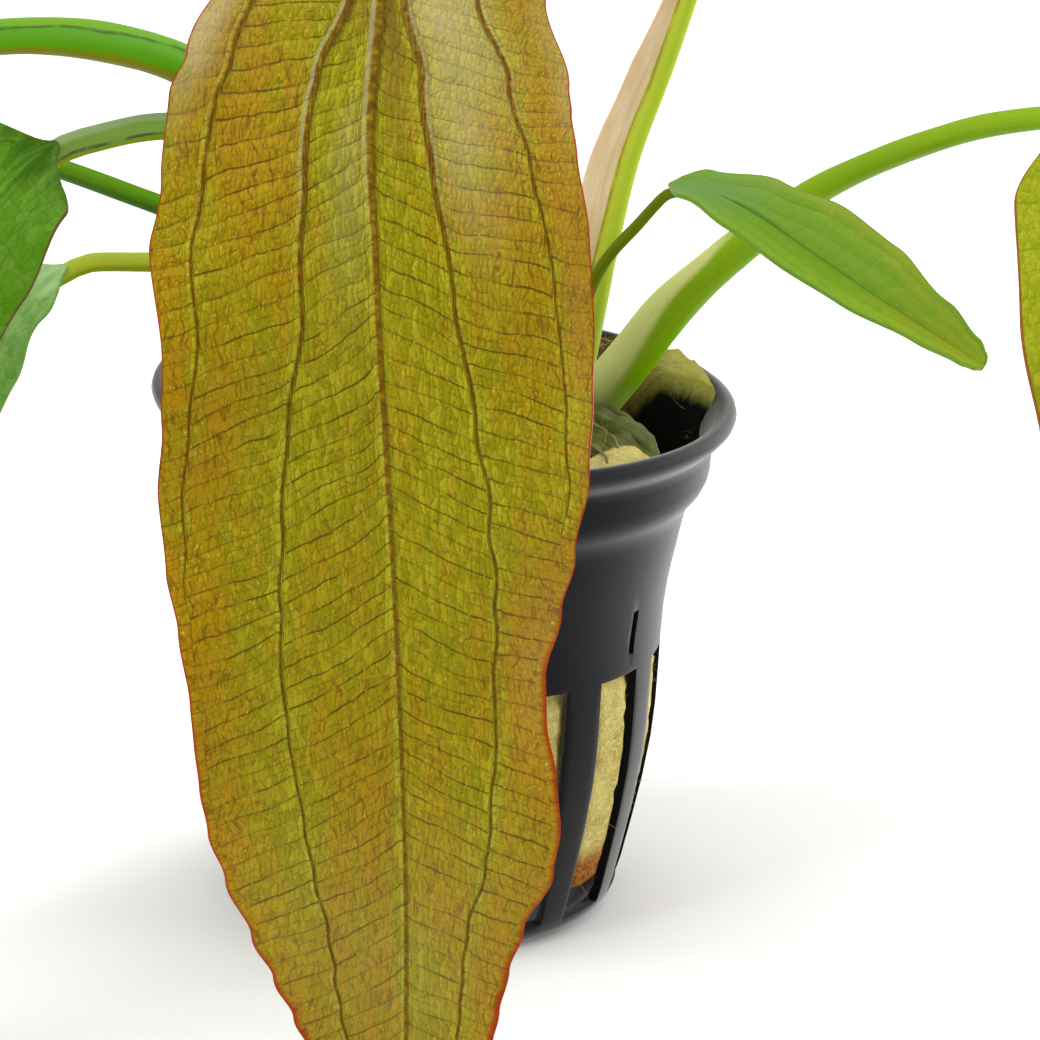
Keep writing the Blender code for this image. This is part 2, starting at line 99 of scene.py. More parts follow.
LEAVES = {
    "front": dict(
        stalk=[(6.2, -7.2, 47.6), (6.2, -9, 62), (4.5, -14.5, 82), (0.6, -26, 100), (-4.9, -45.1, 110.1)],
        stalk_size=[(4.2, 3.2), (3.4, 2.7), (2.8, 2.3), (2.6, 2)],
        rib=[
            (-5, -45.5, 110.2), (-5.8, -58, 110.8), (-6.2, -69, 107.6), (-6.4, -78, 102.2),
            (-6.6, -84.7, 95), (-5.8, -88.5, 87.6), (-5, -90.5, 79.8), (-3.1, -92, 62.1),
            (-1.3, -92.5, 41), (-0.4, -93.5, 24), (0.1, -94.5, 8.5),
        ],
        face=[(0, -0.2, 1), (0, -1, 0.15), (0.05, -1, 0)],
        widths=[
            (0, 1.3, 1.3), (0.1, 6, 6.2), (0.18, 9.4, 9.6), (0.25, 11.8, 12.5),
            (0.305, 14, 14.8), (0.325, 15, 15.1), (0.36, 15.5, 15.5), (0.4, 16.6, 16),
            (0.45, 16, 16.1), (0.49, 16.4, 15.8), (0.53, 17.1, 15.2), (0.575, 16.8, 13.7),
            (0.61, 16.1, 12.4), (0.65, 15.5, 11), (0.675, 15.4, 11), (0.705, 15.2, 11.6),
            (0.735, 14.7, 11.8), (0.765, 13.5, 11.2), (0.8, 11.6, 8.9), (0.825, 10, 7.8),
            (0.85, 8.5, 7.1), (0.87, 7.4, 6.6), (0.93, 3.8, 3.6), (1, 0.4, 0.4),
        ],
        fold=8, wave=(0.9, 5.5), look="front", veins=FRONT_VEINS, fine=True, relief=0.62, uneven=0.45,
        # Small blisters: place along the blade, millimetres aside, how wide, how high
        blisters=[
            (0.353, -2.6, 0.6, 0.42), (0.405, -3.6, 0.6, 0.4), (0.3, 5.7, 0.6, 0.42),
            (0.25, 5.4, 0.7, 0.45), (0.33, -7.6, 0.5, 0.35), (0.352, -10.6, 0.5, 0.3),
            (0.447, 3.4, 0.6, 0.35), (0.44, -3.9, 0.5, 0.3), (0.47, -11.2, 0.6, 0.3),
            (0.62, 3.5, 0.5, 0.3), (0.39, -9, 0.4, 0.3),
        ],
        # Where painted sheen lies, with painted shade below zero, and where more brown: place along the
        # blade, column, their reaches, the two shares
        patches=[
            (0.25, 1.5, 0.07, 0.6, 0.64, -0.4), (0.35, 1.35, 0.05, 0.3, 0.3, -0.2),
            (0.29, -2.8, 0.035, 0.42, 0.85, -0.2), (0.34, -0.35, 0.07, 0.3, 0.3, -0.35),
            (0.3, 2.95, 0.05, 0.25, 0.35, 0), (0.25, 0.5, 0.1, 0.38, -0.75, 0),
            (0.25, -0.5, 0.075, 0.4, -0.5, 0), (0.22, -1, 0.05, 0.2, -0.5, 0),
            (0.33, -2.1, 0.05, 0.8, 0, 0.12), (0.64, 2, 0.06, 0.7, 0.12, 0.45),
            (0.45, 2.6, 0.1, 0.5, 0.08, 0.2), (0.82, 0, 0.08, 2.6, 0.12, 0.14),
        ],
    ),
    "high_left": dict(
        stalk=[
            (0.6, -1, 47.6), (-2.5, -2.5, 58), (-11, -9, 73), (-22.6, -19, 83.2),
            (-30.4, -30, 88.2), (-38.4, -41, 90.7), (-45.7, -49.8, 90.7),
        ],
        stalk_size=[(4.6, 3.8), (4, 3.3), (3.5, 3), (2.7, 2.5)],
        rib=[
            (-46, -50.1, 90.7), (-55, -59, 88.6), (-64, -67, 80), (-71, -72, 66),
            (-76, -75, 49), (-79, -77, 31), (-81, -79, 13),
        ],
        face=[(-0.25, -0.2, 1), (-0.62, -0.75, 0.3), (-0.6, -0.8, 0.1)],
        widths=14.5, fold=10, wave=(0.9, 4.5), look="olive",
    ),
    "left": dict(
        stalk=[
            (2.4, -5.6, 47.6), (-0.5, -8, 58), (-9, -14.5, 71), (-19, -20, 78),
            (-26.1, -24.5, 79.7), (-33.7, -33.1, 79.6),
        ],
        stalk_size=[(3.6, 2.8), (2.8, 2.2), (2.4, 1.9), (2.3, 1.8)],
        rib=[
            (-34, -33.4, 79.5), (-36.6, -35.4, 77.7), (-39.8, -38, 74.2), (-45, -42, 67),
            (-50.5, -45.5, 57.5), (-55, -48.5, 46), (-58.5, -51, 33), (-60.5, -53, 20), (-61.5, -55, 9),
        ],
        face=[(0.2, -0.6, 0.8), (0.25, -0.8, 0.45), (0.1, -1, 0.2)],
        widths=[
            (0, 1.2, 1.2), (0.055, 7.4, 5.6), (0.16, 9.6, 7.3), (0.32, 10.6, 8.7), (0.5, 10.2, 8.9),
            (0.7, 7.8, 7.4), (0.88, 3.9, 3.7), (1, 0.5, 0.5),
        ],
        fold=6, wave=(0.12, 3), look="green", relief=0.12, uneven=0.2,
        patches=[(0.02, 0.7, 0.04, 1.1, -0.55, 0)],
    ),
    "low_left": dict(
        stalk=[
            (1.2, 2.8, 47.6), (-2.4, 2, 54), (-9.4, -3.4, 60.5), (-18, -9, 63.6),
            (-27.1, -14, 64.5), (-32.15, -17.6, 65.2), (-33.9, -18.7, 64.7),
        ],
        stalk_size=[(2.6, 2.2), (2, 1.7), (1.7, 1.5), (1.8, 1.5), (1.7, 1.4)],
        rib=[
            (-34.1, -18.8, 64.6), (-36.6, -20.1, 63.1), (-40.4, -22, 59.6), (-45, -24.5, 52),
            (-49.4, -27, 42), (-52.4, -29.5, 29), (-54, -32, 16),
        ],
        face=[(0.1, -0.5, 0.9), (0.3, -0.85, 0.4), (0.2, -1, 0.2)],
        widths=[
            (0, 1, 1), (0.08, 3.4, 3), (0.2, 5.2, 4.7), (0.4, 6.2, 5.5), (0.65, 4.8, 4.6),
            (0.85, 2.6, 2.5), (1, 0.5, 0.5),
        ],
        fold=8, wave=(0.3, 3.5), look="pale", relief=0.12, uneven=0.2,
    ),
    "back_left": dict(
        stalk=[
            (5, 4.6, 47.6), (1, 4.6, 54), (-9, 2, 60), (-20, -2, 64.4),
            (-28.1, -1, 66.7), (-36.6, 5, 67.7), (-45, 15, 67.2), (-50.85, 22.5, 66.1),
        ],
        stalk_size=[(2.4, 2.1), (2, 1.8), (1.9, 1.7), (1.6, 1.4)],
        rib=[
            (-51.1, 22.8, 66), (-57, 30, 63), (-62.5, 37.5, 56), (-66.5, 44, 46),
            (-69, 49, 34), (-70, 53, 21),
        ],
        face=[(-0.2, 0.1, 1), (-0.6, 0.65, 0.5), (-0.7, 0.75, 0.2)],
        widths=9, fold=8, wave=(0.5, 3.5), look="green",
    ),
    "tall": dict(
        stalk=[
            (11.2, 3.2, 47.6), (12.2, 3.6, 57), (13.4, 5, 64.7), (14.8, 8, 70.8),
            (17, 11, 76.5), (20.3, 15, 84.9), (25.2, 22, 99), (30.85, 30.6, 111.6),
        ],
        stalk_size=[
            (5, 3.4), (5.2, 3.2), (5, 2.8), (4.3, 2.6), (3.2, 2.4), (2.6, 2.2), (2.3, 2.1), (2.1, 2),
        ],
        rib=[
            (31.1, 30.9, 111.9), (37, 41, 120), (43.5, 53, 123), (50, 65, 119),
            (55, 76, 109), (58.5, 85, 96), (60.5, 92, 82),
        ],
        face=[(-0.1, -0.3, 1), (0.35, 0.55, 0.9), (0.55, 0.85, 0.35)],
        widths=13, fold=9, wave=(0.8, 4), look="olive",
        green_wide=[(2.6,), (2.4,), (2.2,), (2,), (1.9,), (1.8,), (1.8,), (1.8,)],
    ),
    "right": dict(
        stalk=[
            (12.7, -3, 47.9), (14, -3.1, 50.4), (16.1, -3.6, 53.2), (19.2, -5.2, 58.6), (23, -8.4, 64.2),
            (32.2, -18, 75.5), (42.5, -35, 85.5), (50.3, -48.4, 90.7), (53.9, -54.8, 92.65),
        ],
        stalk_size=[
            (4.9, 3.6), (4.5, 3.2), (3.6, 2.7), (2.7, 2.3), (2.3, 2.1), (2.1, 2), (2, 1.9), (1.9, 1.8),
        ],
        rib=[
            (54.1, -55.2, 92.7), (56, -64, 94.3), (57.2, -72, 92.9), (57.6, -78.5, 88),
            (58, -83.5, 80), (59.2, -86.5, 68.6), (60.7, -88, 55), (62.2, -88, 38.5), (63, -87, 18),
        ],
        face=[(0, -0.2, 1), (0, -1, 0.15), (0.05, -1, 0)],
        widths=[
            (0, 1.3, 1.3), (0.08, 7.4, 7.4), (0.16, 12.2, 12), (0.24, 15.3, 15.4), (0.33, 15.2, 15.2),
            (0.42, 13.6, 14), (0.55, 11.6, 11.8), (0.75, 8, 8.2), (0.9, 3.6, 3.8), (1, 0.5, 0.5),
        ],
        fold=8, wave=(0.8, 4.5), look="olive",
    ),
    "small": dict(
        stalk=[
            (10.4, -7.2, 47.6), (10.6, -8.8, 55), (13.2, -13, 65.3), (16.6, -18, 71.7),
            (18.7, -21.9, 75.6),
        ],
        stalk_size=[(2.2, 1.8), (1.5, 1.3), (1.1, 1), (1, 0.9)],
        rib=[
            (19, -22.2, 75.9), (22, -25.4, 76.5), (26, -29, 75.5), (31, -33, 73.3),
            (36.5, -37, 70.8), (41.5, -40, 68.6), (45.4, -42, 66.8),
        ],
        face=[(-0.2, -0.55, 0.85), (-0.05, -0.55, 0.82), (-0.05, -0.6, 0.8)],
        widths=[
            (0, 0.8, 0.8), (0.12, 3, 2.1), (0.3, 4.8, 3.9), (0.48, 5.2, 5), (0.65, 4.6, 4.7),
            (0.84, 2.9, 3), (0.95, 1.8, 1.8), (0.985, 1.2, 1.2), (1, 0.4, 0.4),
        ],
        fold=30, wave=(0.1, 2), look="young", relief=0.06, uneven=0.12,
        patches=[(0.95, 0, 0.3, 3, 0, 0.55), (0.12, -0.5, 0.16, 2, 0.55, -0.3)],
    ),
}

OLD_BASES = {
    "old_leaf_base_1": (
        [(12.6, -6.6, 48.9), (14.6, -7.9, 49.3), (17.2, -9.8, 48.9), (19.8, -12.2, 47.6)],
        [(4,), (4.6,), (3.8,), (1.2,)],
    ),
    "old_leaf_base_2": (
        [(9.4, -10, 47.5), (11.8, -11.4, 49.6), (14.4, -14, 49.7), (16, -16.8, 48.3)],
        [(2.2,), (2.8,), (1.6,)],
    ),
}


# Shared modelling steps

def deselect():
    if bpy.context.object and bpy.context.object.mode != "OBJECT":
        bpy.ops.object.mode_set(mode="OBJECT")
    bpy.ops.object.select_all(action="DESELECT")


def select_only(obj):
    deselect()
    obj.select_set(True)
    bpy.context.view_layer.objects.active = obj


def added(name, operator, **values):
    """A new primitive, selected alone."""
    deselect()
    operator(**values)
    obj = bpy.context.object
    obj.name = name
    obj.data.name = name
    return obj


def points_of(obj):
    places = np.empty(len(obj.data.vertices) * 3, np.float32)
    obj.data.vertices.foreach_get("co", places)
    return places.reshape(-1, 3)


def move_points(obj, places):
    obj.data.vertices.foreach_set("co", np.asarray(places, np.float32).ravel())
    obj.data.update()


def apply_all(obj):
    bpy.context.view_layer.objects.active = obj
    for modifier in list(obj.modifiers):
        bpy.ops.object.modifier_apply(modifier=modifier.name)


def place_in_mesh(obj):
    """Puts the object's place, turn and size into its mesh."""
    select_only(obj)
    bpy.ops.object.transform_apply(location=True, rotation=True, scale=True)


def smooth(obj, degrees=35):
    select_only(obj)
    bpy.ops.object.shade_smooth_by_angle(angle=math.radians(degrees))


def thicken(obj, thick, offset):
    solid = obj.modifiers.new("Thickness", "SOLIDIFY")
    solid.thickness = thick * MM
    solid.offset = offset
    apply_all(obj)


def grid(name, columns, rows):
    return added(
        name, bpy.ops.mesh.primitive_grid_add,
        x_subdivisions=columns, y_subdivisions=rows, size=1, calc_uvs=True,
    )


def rod(name, sides, rings):
    """An upright cylinder cut into rings of points, the ring of each point and its turn about the axis."""
    obj = added(
        name, bpy.ops.mesh.primitive_cylinder_add,
        vertices=sides, radius=1, depth=1, end_fill_type="NGON",
    )
    start = points_of(obj)
    bpy.ops.object.mode_set(mode="EDIT")
    bpy.ops.mesh.select_mode(type="EDGE")
    bpy.ops.mesh.select_all(action="DESELECT")
    bpy.ops.object.mode_set(mode="OBJECT")
    for edge in obj.data.edges:
        a, b = edge.vertices
        edge.select = bool(abs(start[a][2] - start[b][2]) > 0.5)
    bpy.ops.object.mode_set(mode="EDIT")
    bpy.ops.mesh.subdivide(number_cuts=rings - 2)
    bpy.ops.object.mode_set(mode="OBJECT")
    start = points_of(obj)
    ring = np.round((start[:, 2] + 0.5) * (rings - 1)).astype(int)
    return obj, ring, np.arctan2(start[:, 1], start[:, 0])


def join(name, pieces):
    deselect()
    for piece in pieces:
        piece.select_set(True)
    bpy.context.view_layer.objects.active = pieces[0]
    bpy.ops.object.join()
    pieces[0].name = name
    pieces[0].data.name = name
    return pieces[0]


def keep(obj, slot, material, *nodes):
    """Dresses a piece, lets it ride on the plant's body and hides the nodes that it stands for."""
    obj.data.materials.clear()
    obj.data.materials.append(material)
    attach(obj, "root")
    if nodes:
        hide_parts(*nodes)
    return obj


def store(obj, name, values):
    """Keeps three numbers for each point, which the material reads as the attribute name."""
    made = obj.data.attributes.new(name, "FLOAT_VECTOR", "POINT")
    made.data.foreach_set("vector", np.asarray(values, np.float32).ravel())


def unit(ways):
    return ways / np.linalg.norm(ways, axis=1)[:, None]


def reached_at(places):
    """How far along their line the places lie."""
    return np.concatenate([[0], np.cumsum(np.linalg.norm(np.diff(places, axis=0), axis=1))])


def line_through(points, count):
    """A smooth curve through the points, as count places at even distances, their directions, its length."""
    points = [np.array(p, float) for p in points]
    ends = [2 * points[0] - points[1], *points, 2 * points[-1] - points[-2]]
    t = np.arange(40)[:, None] / 40
    fine = []
    for before, start, stop, after in zip(ends, ends[1:], ends[2:], ends[3:]):
        fine.append(
            0.5 * (
                2 * start + (stop - before) * t
                + (2 * before - 5 * start + 4 * stop - after) * t ** 2
                + (3 * start - before - 3 * stop + after) * t ** 3
            )
        )
    fine = np.concatenate([*fine, points[-1][None]])
    reached = reached_at(fine)
    want = np.linspace(0, reached[-1], count)
    places = np.stack([np.interp(want, reached, fine[:, k]) for k in range(3)], axis=1)
    return places, unit(np.gradient(places, axis=0)), reached[-1]


def eased(table, t):
    """Values read from (place, value, ...) rows at the places t, eased from row to row."""
    table = np.array(table, float)
    k = np.clip(np.searchsorted(table[:, 0], t, side="right") - 1, 0, len(table) - 2)
    share = np.clip((t - table[k, 0]) / (table[k + 1, 0] - table[k, 0]), 0, 1)
    share = share * share * (3 - 2 * share)
    return table[k, 1:] * (1 - share[:, None]) + table[k + 1, 1:] * share[:, None]


def evenly(values, t):
    values = np.array(values, float)
    rows = [(k / (len(values) - 1), *value) for k, value in enumerate(values)]
    return eased(rows, t)


def flow(ways, ahead):
    """The ways made square to the line, and of length one."""
    return unit(ways - (ways * ahead).sum(axis=1)[:, None] * ahead)


def beside(ahead, hint):
    """The ways across a line and towards its front, which the hint points to."""
    toward = flow(np.array(hint, float), ahead)
    return np.cross(ahead, toward), toward


# Leaf blades

# A plain blade's outline: how it swells and narrows, and its least half width at the foot and the tip
PLAIN_RISE, PLAIN_FALL = 0.55, 0.85
LEAST_FOOT, LEAST_TIP = 1.1, 0.35
BLADE_THICK = 0.42
# Rows along a blade, and columns from one main vein to the next
FINE_GRID, PLAIN_GRID = (470, 15), (200, 9)
COLUMNS_GATHERED = 0.62
# How high the main veins stand, as shares of the midrib, and how wide the midrib's ridge is
VEIN_SHARES = {-2: 0.4, -1: 0.62, 0: 1.0, 1: 0.62, 2: 0.4}
RIDGE_LEAST, RIDGE_MORE = 0.26, 0.50
# An outer vein fades where it comes nearer to the margin than this, and over how far
VEIN_END, VEIN_FADE = 0.25, 1.4
FIELD_BULGE = 0.10
UNEVEN_ACROSS, UNEVEN_ALONG = 0.16, 0.10
# A blade's foot rests on the end of its stalk, this deep in it, over this share of the blade
FOOT_SUNK, FOOT_OVER_STALK = 0.1, 0.09
# The stalk's end runs on under the blade, this deep in it
TONGUE_SUNK = 0.22
# A blade starts at this share of its width, and has the whole of it from this share of its length
FOOT_SHARE, FOOT_END = 0.25, 0.035


def half_widths(widths, t):
    if isinstance(widths, (int, float)):
        peak = PLAIN_RISE / (PLAIN_RISE + PLAIN_FALL)
        shape = (t / peak) ** PLAIN_RISE * ((1 - t) / (1 - peak)) ** PLAIN_FALL
        wide = np.maximum(widths * shape, np.where(t < 0.5, LEAST_FOOT, LEAST_TIP))
        return np.stack([wide, wide], axis=1)
    return eased(widths, t)


def columns_between_veins(count):
    """Places from one vein to the next, closer together beside the veins."""
    x = np.linspace(0, 1, count + 1)
    return x - COLUMNS_GATHERED * np.sin(2 * math.pi * x) / (2 * math.pi)


def ridge(distance, wide):
    """A rounded ridge's height, from 1 on its line to 0 at the distance wide."""
    return np.exp(-(distance / (0.5 * wide)) ** 2)


def vein_thickness(t):
    """How much of their height and width the main veins still have along the blade."""
    return eased([(0, 1.0), (0.25, 0.95), (0.45, 0.6), (0.8, 0.42), (1, 0.25)], t)[:, 0]


def relief_of(leaf):
    return leaf.get("relief", 0.2)


def foot_rise(leaf, t):
    """How much higher the blade lies where its foot rests on the end of the stalk."""
    over = leaf["stalk_size"][-1][1] / 2 - FOOT_SUNK - relief_of(leaf)
    return over * np.clip(1 - t / FOOT_OVER_STALK, 0, 1) ** 1.5


def laid_shares(leaf, t, c):
    """Shares of painted light (painted sheen above zero, painted shade below) and of more brown over the
    blade, from the leaf's patches.
    """
    bloom, brown = np.zeros((2, len(t), len(c)))
    for at, column, far, aside, pale, more in leaf.get("patches", []):
        share = np.exp(-((t[:, None] - at) / far) ** 2 - ((c[None] - column) / aside) ** 2)
        bloom += pale * share
        brown += more * share
    return np.stack([bloom, brown, np.zeros_like(bloom)], axis=-1)


def blade(name, leaf):
    """A thin curved sheet whose columns follow its main veins, with the veins raised on it."""
    rows, per_field = FINE_GRID if leaf.get("fine") else PLAIN_GRID
    step = columns_between_veins(per_field)[:-1]
    c = np.concatenate([*[k + step for k in (-3, -2, -1, 0, 1, 2)], [3.0]])
    obj = grid(name + "_leaf_blade.look", len(c) - 1, rows)
    t = np.linspace(0, 1, rows + 1)
    places, ahead, length = line_through(leaf["rib"], rows + 1)
    face = flow(evenly(leaf["face"], t), ahead)
    right = np.cross(face, ahead)
    wide = half_widths(leaf["widths"], t)
    wide *= (FOOT_SHARE + (1 - FOOT_SHARE) * np.clip(t / FOOT_END, 0, 1) ** 0.6)[:, None]
    shares = eased(leaf.get("veins", PLAIN_VEINS), t)
    fold = math.radians(leaf["fold"])
    height, waves = leaf["wave"]
    seed = sum(map(ord, name)) % 97

    # Across each row: the margin, the lateral veins and the midrib sit at whole numbers of c
    known = np.arange(-3.0, 4.0)
    share = np.empty((rows + 1, len(c)))
    for k in range(rows + 1):
        left_outer, left_inner, right_inner, right_outer = shares[k]
        share[k] = np.interp(c, known, [-1, -left_outer, -left_inner, 0, right_inner, right_outer, 1])
    across = share * np.where(share < 0, wide[:, :1], wide[:, 1:])
    along = np.broadcast_to((t * length)[:, None], across.shape)
    margin = np.where(across < 0, wide[:, :1], wide[:, 1:]) - np.abs(across)

    lift = np.abs(across) * math.sin(fold) + height * np.sin(math.pi * t)[:, None] * share ** 2 * np.sin(
        2 * math.pi * waves * t[:, None] + 2 * share
    )
    uneven = leaf.get("uneven", 0.35)
    for k, j in np.ndindex(lift.shape):
        spot = Vector((across[k, j] * UNEVEN_ACROSS, along[k, j] * UNEVEN_ALONG, seed))
        lift[k, j] += noise.noise(spot) * uneven * min(1, abs(share[k, j]) * 2)

    # The main veins stand up from the blade, the midrib most, and thin out towards the tip
    thick = vein_thickness(t)
    near = np.empty_like(across)
    from_inner = np.empty_like(across)
    whole = np.round(c)
    inner = np.where(c >= 0, np.floor(np.minimum(c, 2.9999)), np.ceil(np.maximum(c, -2.9999)))
    column_of = {v: int(np.argmin(np.abs(c - v))) for v in range(-3, 4)}
    for j in range(len(c)):
        near[:, j] = np.abs(across[:, j] - across[:, column_of[int(whole[j])]])
        from_inner[:, j] = np.abs(across[:, j] - across[:, column_of[int(inner[j])]])
    for vein, scale in VEIN_SHARES.items():
        column = column_of[vein]
        # An outer vein fades where it runs into the margin
        alive = np.clip((margin[:, column] - VEIN_END) / VEIN_FADE, 0, 1)
        near[:, whole == vein] /= np.maximum(alive * thick ** 0.7, 0.02)[:, None]
        distance = np.abs(across - across[:, column][:, None])
        strength = relief_of(leaf) * scale * thick ** 1.3 * alive
        lift += strength[:, None] * ridge(distance, RIDGE_LEAST + RIDGE_MORE * scale * thick[:, None])
    # The fields between the veins bulge a little
    field = np.abs(c - whole) * 2
    lift += FIELD_BULGE * np.sin(field * math.pi / 2)[None] * np.sin(math.pi * t)[:, None]
    for at, aside, wide_spot, rise in leaf.get("blisters", []):
        away = ((along - at * length) ** 2 + (across - aside) ** 2) ** 0.5
        lift += rise * np.exp(-(away / wide_spot) ** 2)
    lift += foot_rise(leaf, t)[:, None]

    spots = (
        places[:, None] + right[:, None] * (across * math.cos(fold))[..., None]
        + face[:, None] * lift[..., None]
    )
    move_points(obj, spots.reshape(-1, 3) * MM)
    store(obj, "blade", np.stack([np.broadcast_to(c[None], across.shape), along, across], axis=-1))
    store(obj, "veins", np.stack([near, from_inner, margin], axis=-1))
    store(obj, "patches", laid_shares(leaf, t, c))
    thicken(obj, BLADE_THICK, -1)
    smooth(obj, 60)
    slot = BLADE_SLOTS.get(leaf["look"], "olive_blade")
    return keep(obj, slot, BLADE_LOOKS[leaf["look"]], name + "_leaf_blade")


# Stalks

# A stalk's soft edges: how far they stand out, and where the first lies. Its ends close to this share.
EDGE_STANDS, EDGE_AT_DEG, CLOSED_END = 0.05, 95.0, 0.55
STALK_SIDES = 28
STALK_HINT = (0.3, -1, 0.2)


def stem(name, places, sizes):
    """A stem bent onto its line, with three soft edges."""
    count = len(places)
    obj, row, turn = rod(name, STALK_SIDES, count)
    reached = reached_at(places)
    across, toward = beside(unit(np.gradient(places, axis=0)), STALK_HINT)
    form = 1 + EDGE_STANDS * np.cos(3 * (turn - math.radians(EDGE_AT_DEG)))
    rough = np.array([
        1 + 0.035 * noise.noise(Vector((math.cos(a) * 0.8, math.sin(a) * 0.8, v * 0.16)))
        for a, v in zip(turn, reached[row])
    ])
    close = np.minimum(1, np.minimum(row, count - 1 - row) / 3) ** 0.5
    reach = form * rough * (CLOSED_END + (1 - CLOSED_END) * close)
    spots = (
        places[row]
        + across[row] * (sizes[row, 0] / 2 * np.cos(turn) * reach)[:, None]
        + toward[row] * (sizes[row, 1] / 2 * np.sin(turn) * reach)[:, None]
    )
    move_points(obj, spots * MM)
    store(obj, "stem", np.stack([np.cos(turn), np.sin(turn), reached[row]], axis=-1))
    smooth(obj, 60)
    return obj


# How the stalk thins out as it runs on under the blade as its midrib: share of the blade, share of the size
UNDER_RIB = [(0, 1), (0.06, 0.85), (0.3, 0.5), (0.6, 0.32), (0.85, 0.15)]


def stalk(name, leaf):
    """A leaf's stalk from the rootstock up, going over into the midrib under the blade."""
    places, ahead, _ = line_through(leaf["stalk"], 70)
    sizes = evenly(leaf["stalk_size"], np.linspace(0, 1, len(places)))
    if "green_wide" in leaf:
        # Only the green side of this stalk: the rest of its width is a dry sheath
        green = evenly(leaf["green_wide"], np.linspace(0, 1, len(places)))[:, 0]
        places = places + beside(ahead, STALK_HINT)[0] * ((sizes[:, 0] - green) / 2)[:, None]
        sizes = np.stack([green, sizes[:, 1]], axis=1)
    rib, rib_ahead, _ = line_through(leaf["rib"], 101)
    under = np.arange(4, 86, 2)
    face = flow(evenly(leaf["face"], under / 100), rib_ahead[under])
    rib_sizes = sizes[-1] * eased(UNDER_RIB, under / 100)
    rise = relief_of(leaf) * vein_thickness(under / 100) ** 1.3 + foot_rise(leaf, under / 100)
    below = rib[under] + face * (rise[:, None] + TONGUE_SUNK - rib_sizes[:, 1:] / 2)
    line = np.concatenate([places, below])
    for _ in range(3):
        line[1:-1] = (line[:-2] + 2 * line[1:-1] + line[2:]) / 4
    obj = stem(name + "_leaf_stalk.look", line, np.concatenate([sizes, rib_sizes]))
    return keep(obj, "leaf_stalk", STALK_LOOKS[name], name + "_leaf_stalk")


STRIP_COLUMNS = 24


def strip(name, places, middle, wide, across, toward, thick, crumple, torn, seed):
    """A thin limp strip along a line. middle shifts it sideways; crumple and torn are its wrinkles' height
    and how uneven its edges are."""
    obj = grid(name, STRIP_COLUMNS, len(places) - 1)
    reached = reached_at(places)
    spots = np.empty((len(places), STRIP_COLUMNS + 1, 3))
    facts = np.empty_like(spots)
    for k, place in enumerate(places):
        for j, x in enumerate(np.linspace(-1, 1, STRIP_COLUMNS + 1)):
            aside = middle[k] + x * wide[k] / 2
            spot = Vector((aside * 0.9, reached[k] * 0.28, seed))
            lift = crumple * (noise.noise(spot) + 0.5 * noise.noise(spot * 2.3))
            lift += 0.10 * wide[k] * x * x
            ragged = 1 + torn * noise.noise(Vector((reached[k] * 0.8, x * 2, seed + 5)))
            spots[k, j] = place + across[k] * aside * ragged + toward[k] * lift
            facts[k, j] = (x, reached[k], aside)
    move_points(obj, spots.reshape(-1, 3) * MM)
    store(obj, "blade", facts)
    thicken(obj, thick, 0)
    smooth(obj, 60)
    return obj


def dry_sheath():
    """The cream membrane that is left standing along the tall stalk's left side."""
    leaf = LEAVES["tall"]
    count = 150
    places, ahead, _ = line_through(leaf["stalk"], count)
    share = np.linspace(0, 1, count)
    full = evenly(leaf["stalk_size"], share)[:, 0]
    green = evenly(leaf["green_wide"], share)[:, 0]
    across, toward = beside(ahead, STALK_HINT)
    # It starts inside the green side and ends at the stalk's left edge
    start = full / 2 - green * 0.6
    wide = np.maximum(start + full / 2, 0.3)
    middle = start - wide / 2
    span = slice(6, count - 4)
    obj = strip(
        "tall_leaf_sheath", places[span], middle[span], wide[span], across[span], toward[span],
        thick=0.16, crumple=0.06, torn=0.015, seed=11,
    )
    return keep(obj, "leaf_stalk", SHEATH, "tall_leaf_stalk")


def old_leaf_base(name):
    """A limp wide remain of a leaf's foot, hanging over the wool."""
    line, wide = OLD_BASES[name]
    count = 60
    places, ahead, _ = line_through(line, count)
    sizes = evenly(wide, np.linspace(0, 1, count))
    across, toward = beside(ahead, (0.2, -0.7, 0.7))
    obj = strip(
        name + ".look", places, np.zeros(count), sizes[:, 0], across, toward,
        thick=0.2, crumple=0.8, torn=0.14, seed=len(line) + sum(map(ord, name)) % 7,
    )
    return keep(obj, "withered", WITHERED, name)


# Materials

LIGHT_GAIN = 1.2
SURFACE_SHINE = 0.005


def seen(red, green, blue):
    """The base colour that comes out as this colour, 0 to 255, under the scene's light."""
    base = []
    for value in (red, green, blue):
        value /= 255
        linear = value / 12.92 if value <= 0.04045 else ((value + 0.055) / 1.055) ** 2.4
        base.append(max(linear - SURFACE_SHINE, 0.0008) / LIGHT_GAIN)
    return tuple(base)


class Value:
    """A node's output that can be reckoned with: each step adds a node."""

    def __init__(self, nodes, socket):
        self.nodes, self.socket = nodes, socket

    def __add__(self, other):
        return self.nodes.math("ADD", self, other)

    def __radd__(self, other):
        return self.nodes.math("ADD", other, self)

    def __sub__(self, other):
        return self.nodes.math("SUBTRACT", self, other)

    def __rsub__(self, other):
        return self.nodes.math("SUBTRACT", other, self)

    def __mul__(self, other):
        return self.nodes.math("MULTIPLY", self, other)

    def __truediv__(self, other):
        return self.nodes.math("DIVIDE", self, other)

    def __pow__(self, other):
        return self.nodes.math("POWER", self, other)

    def __abs__(self):
        return self.nodes.math("ABSOLUTE", self)


def socket_name(key):
    return key.replace("_", " ").title()


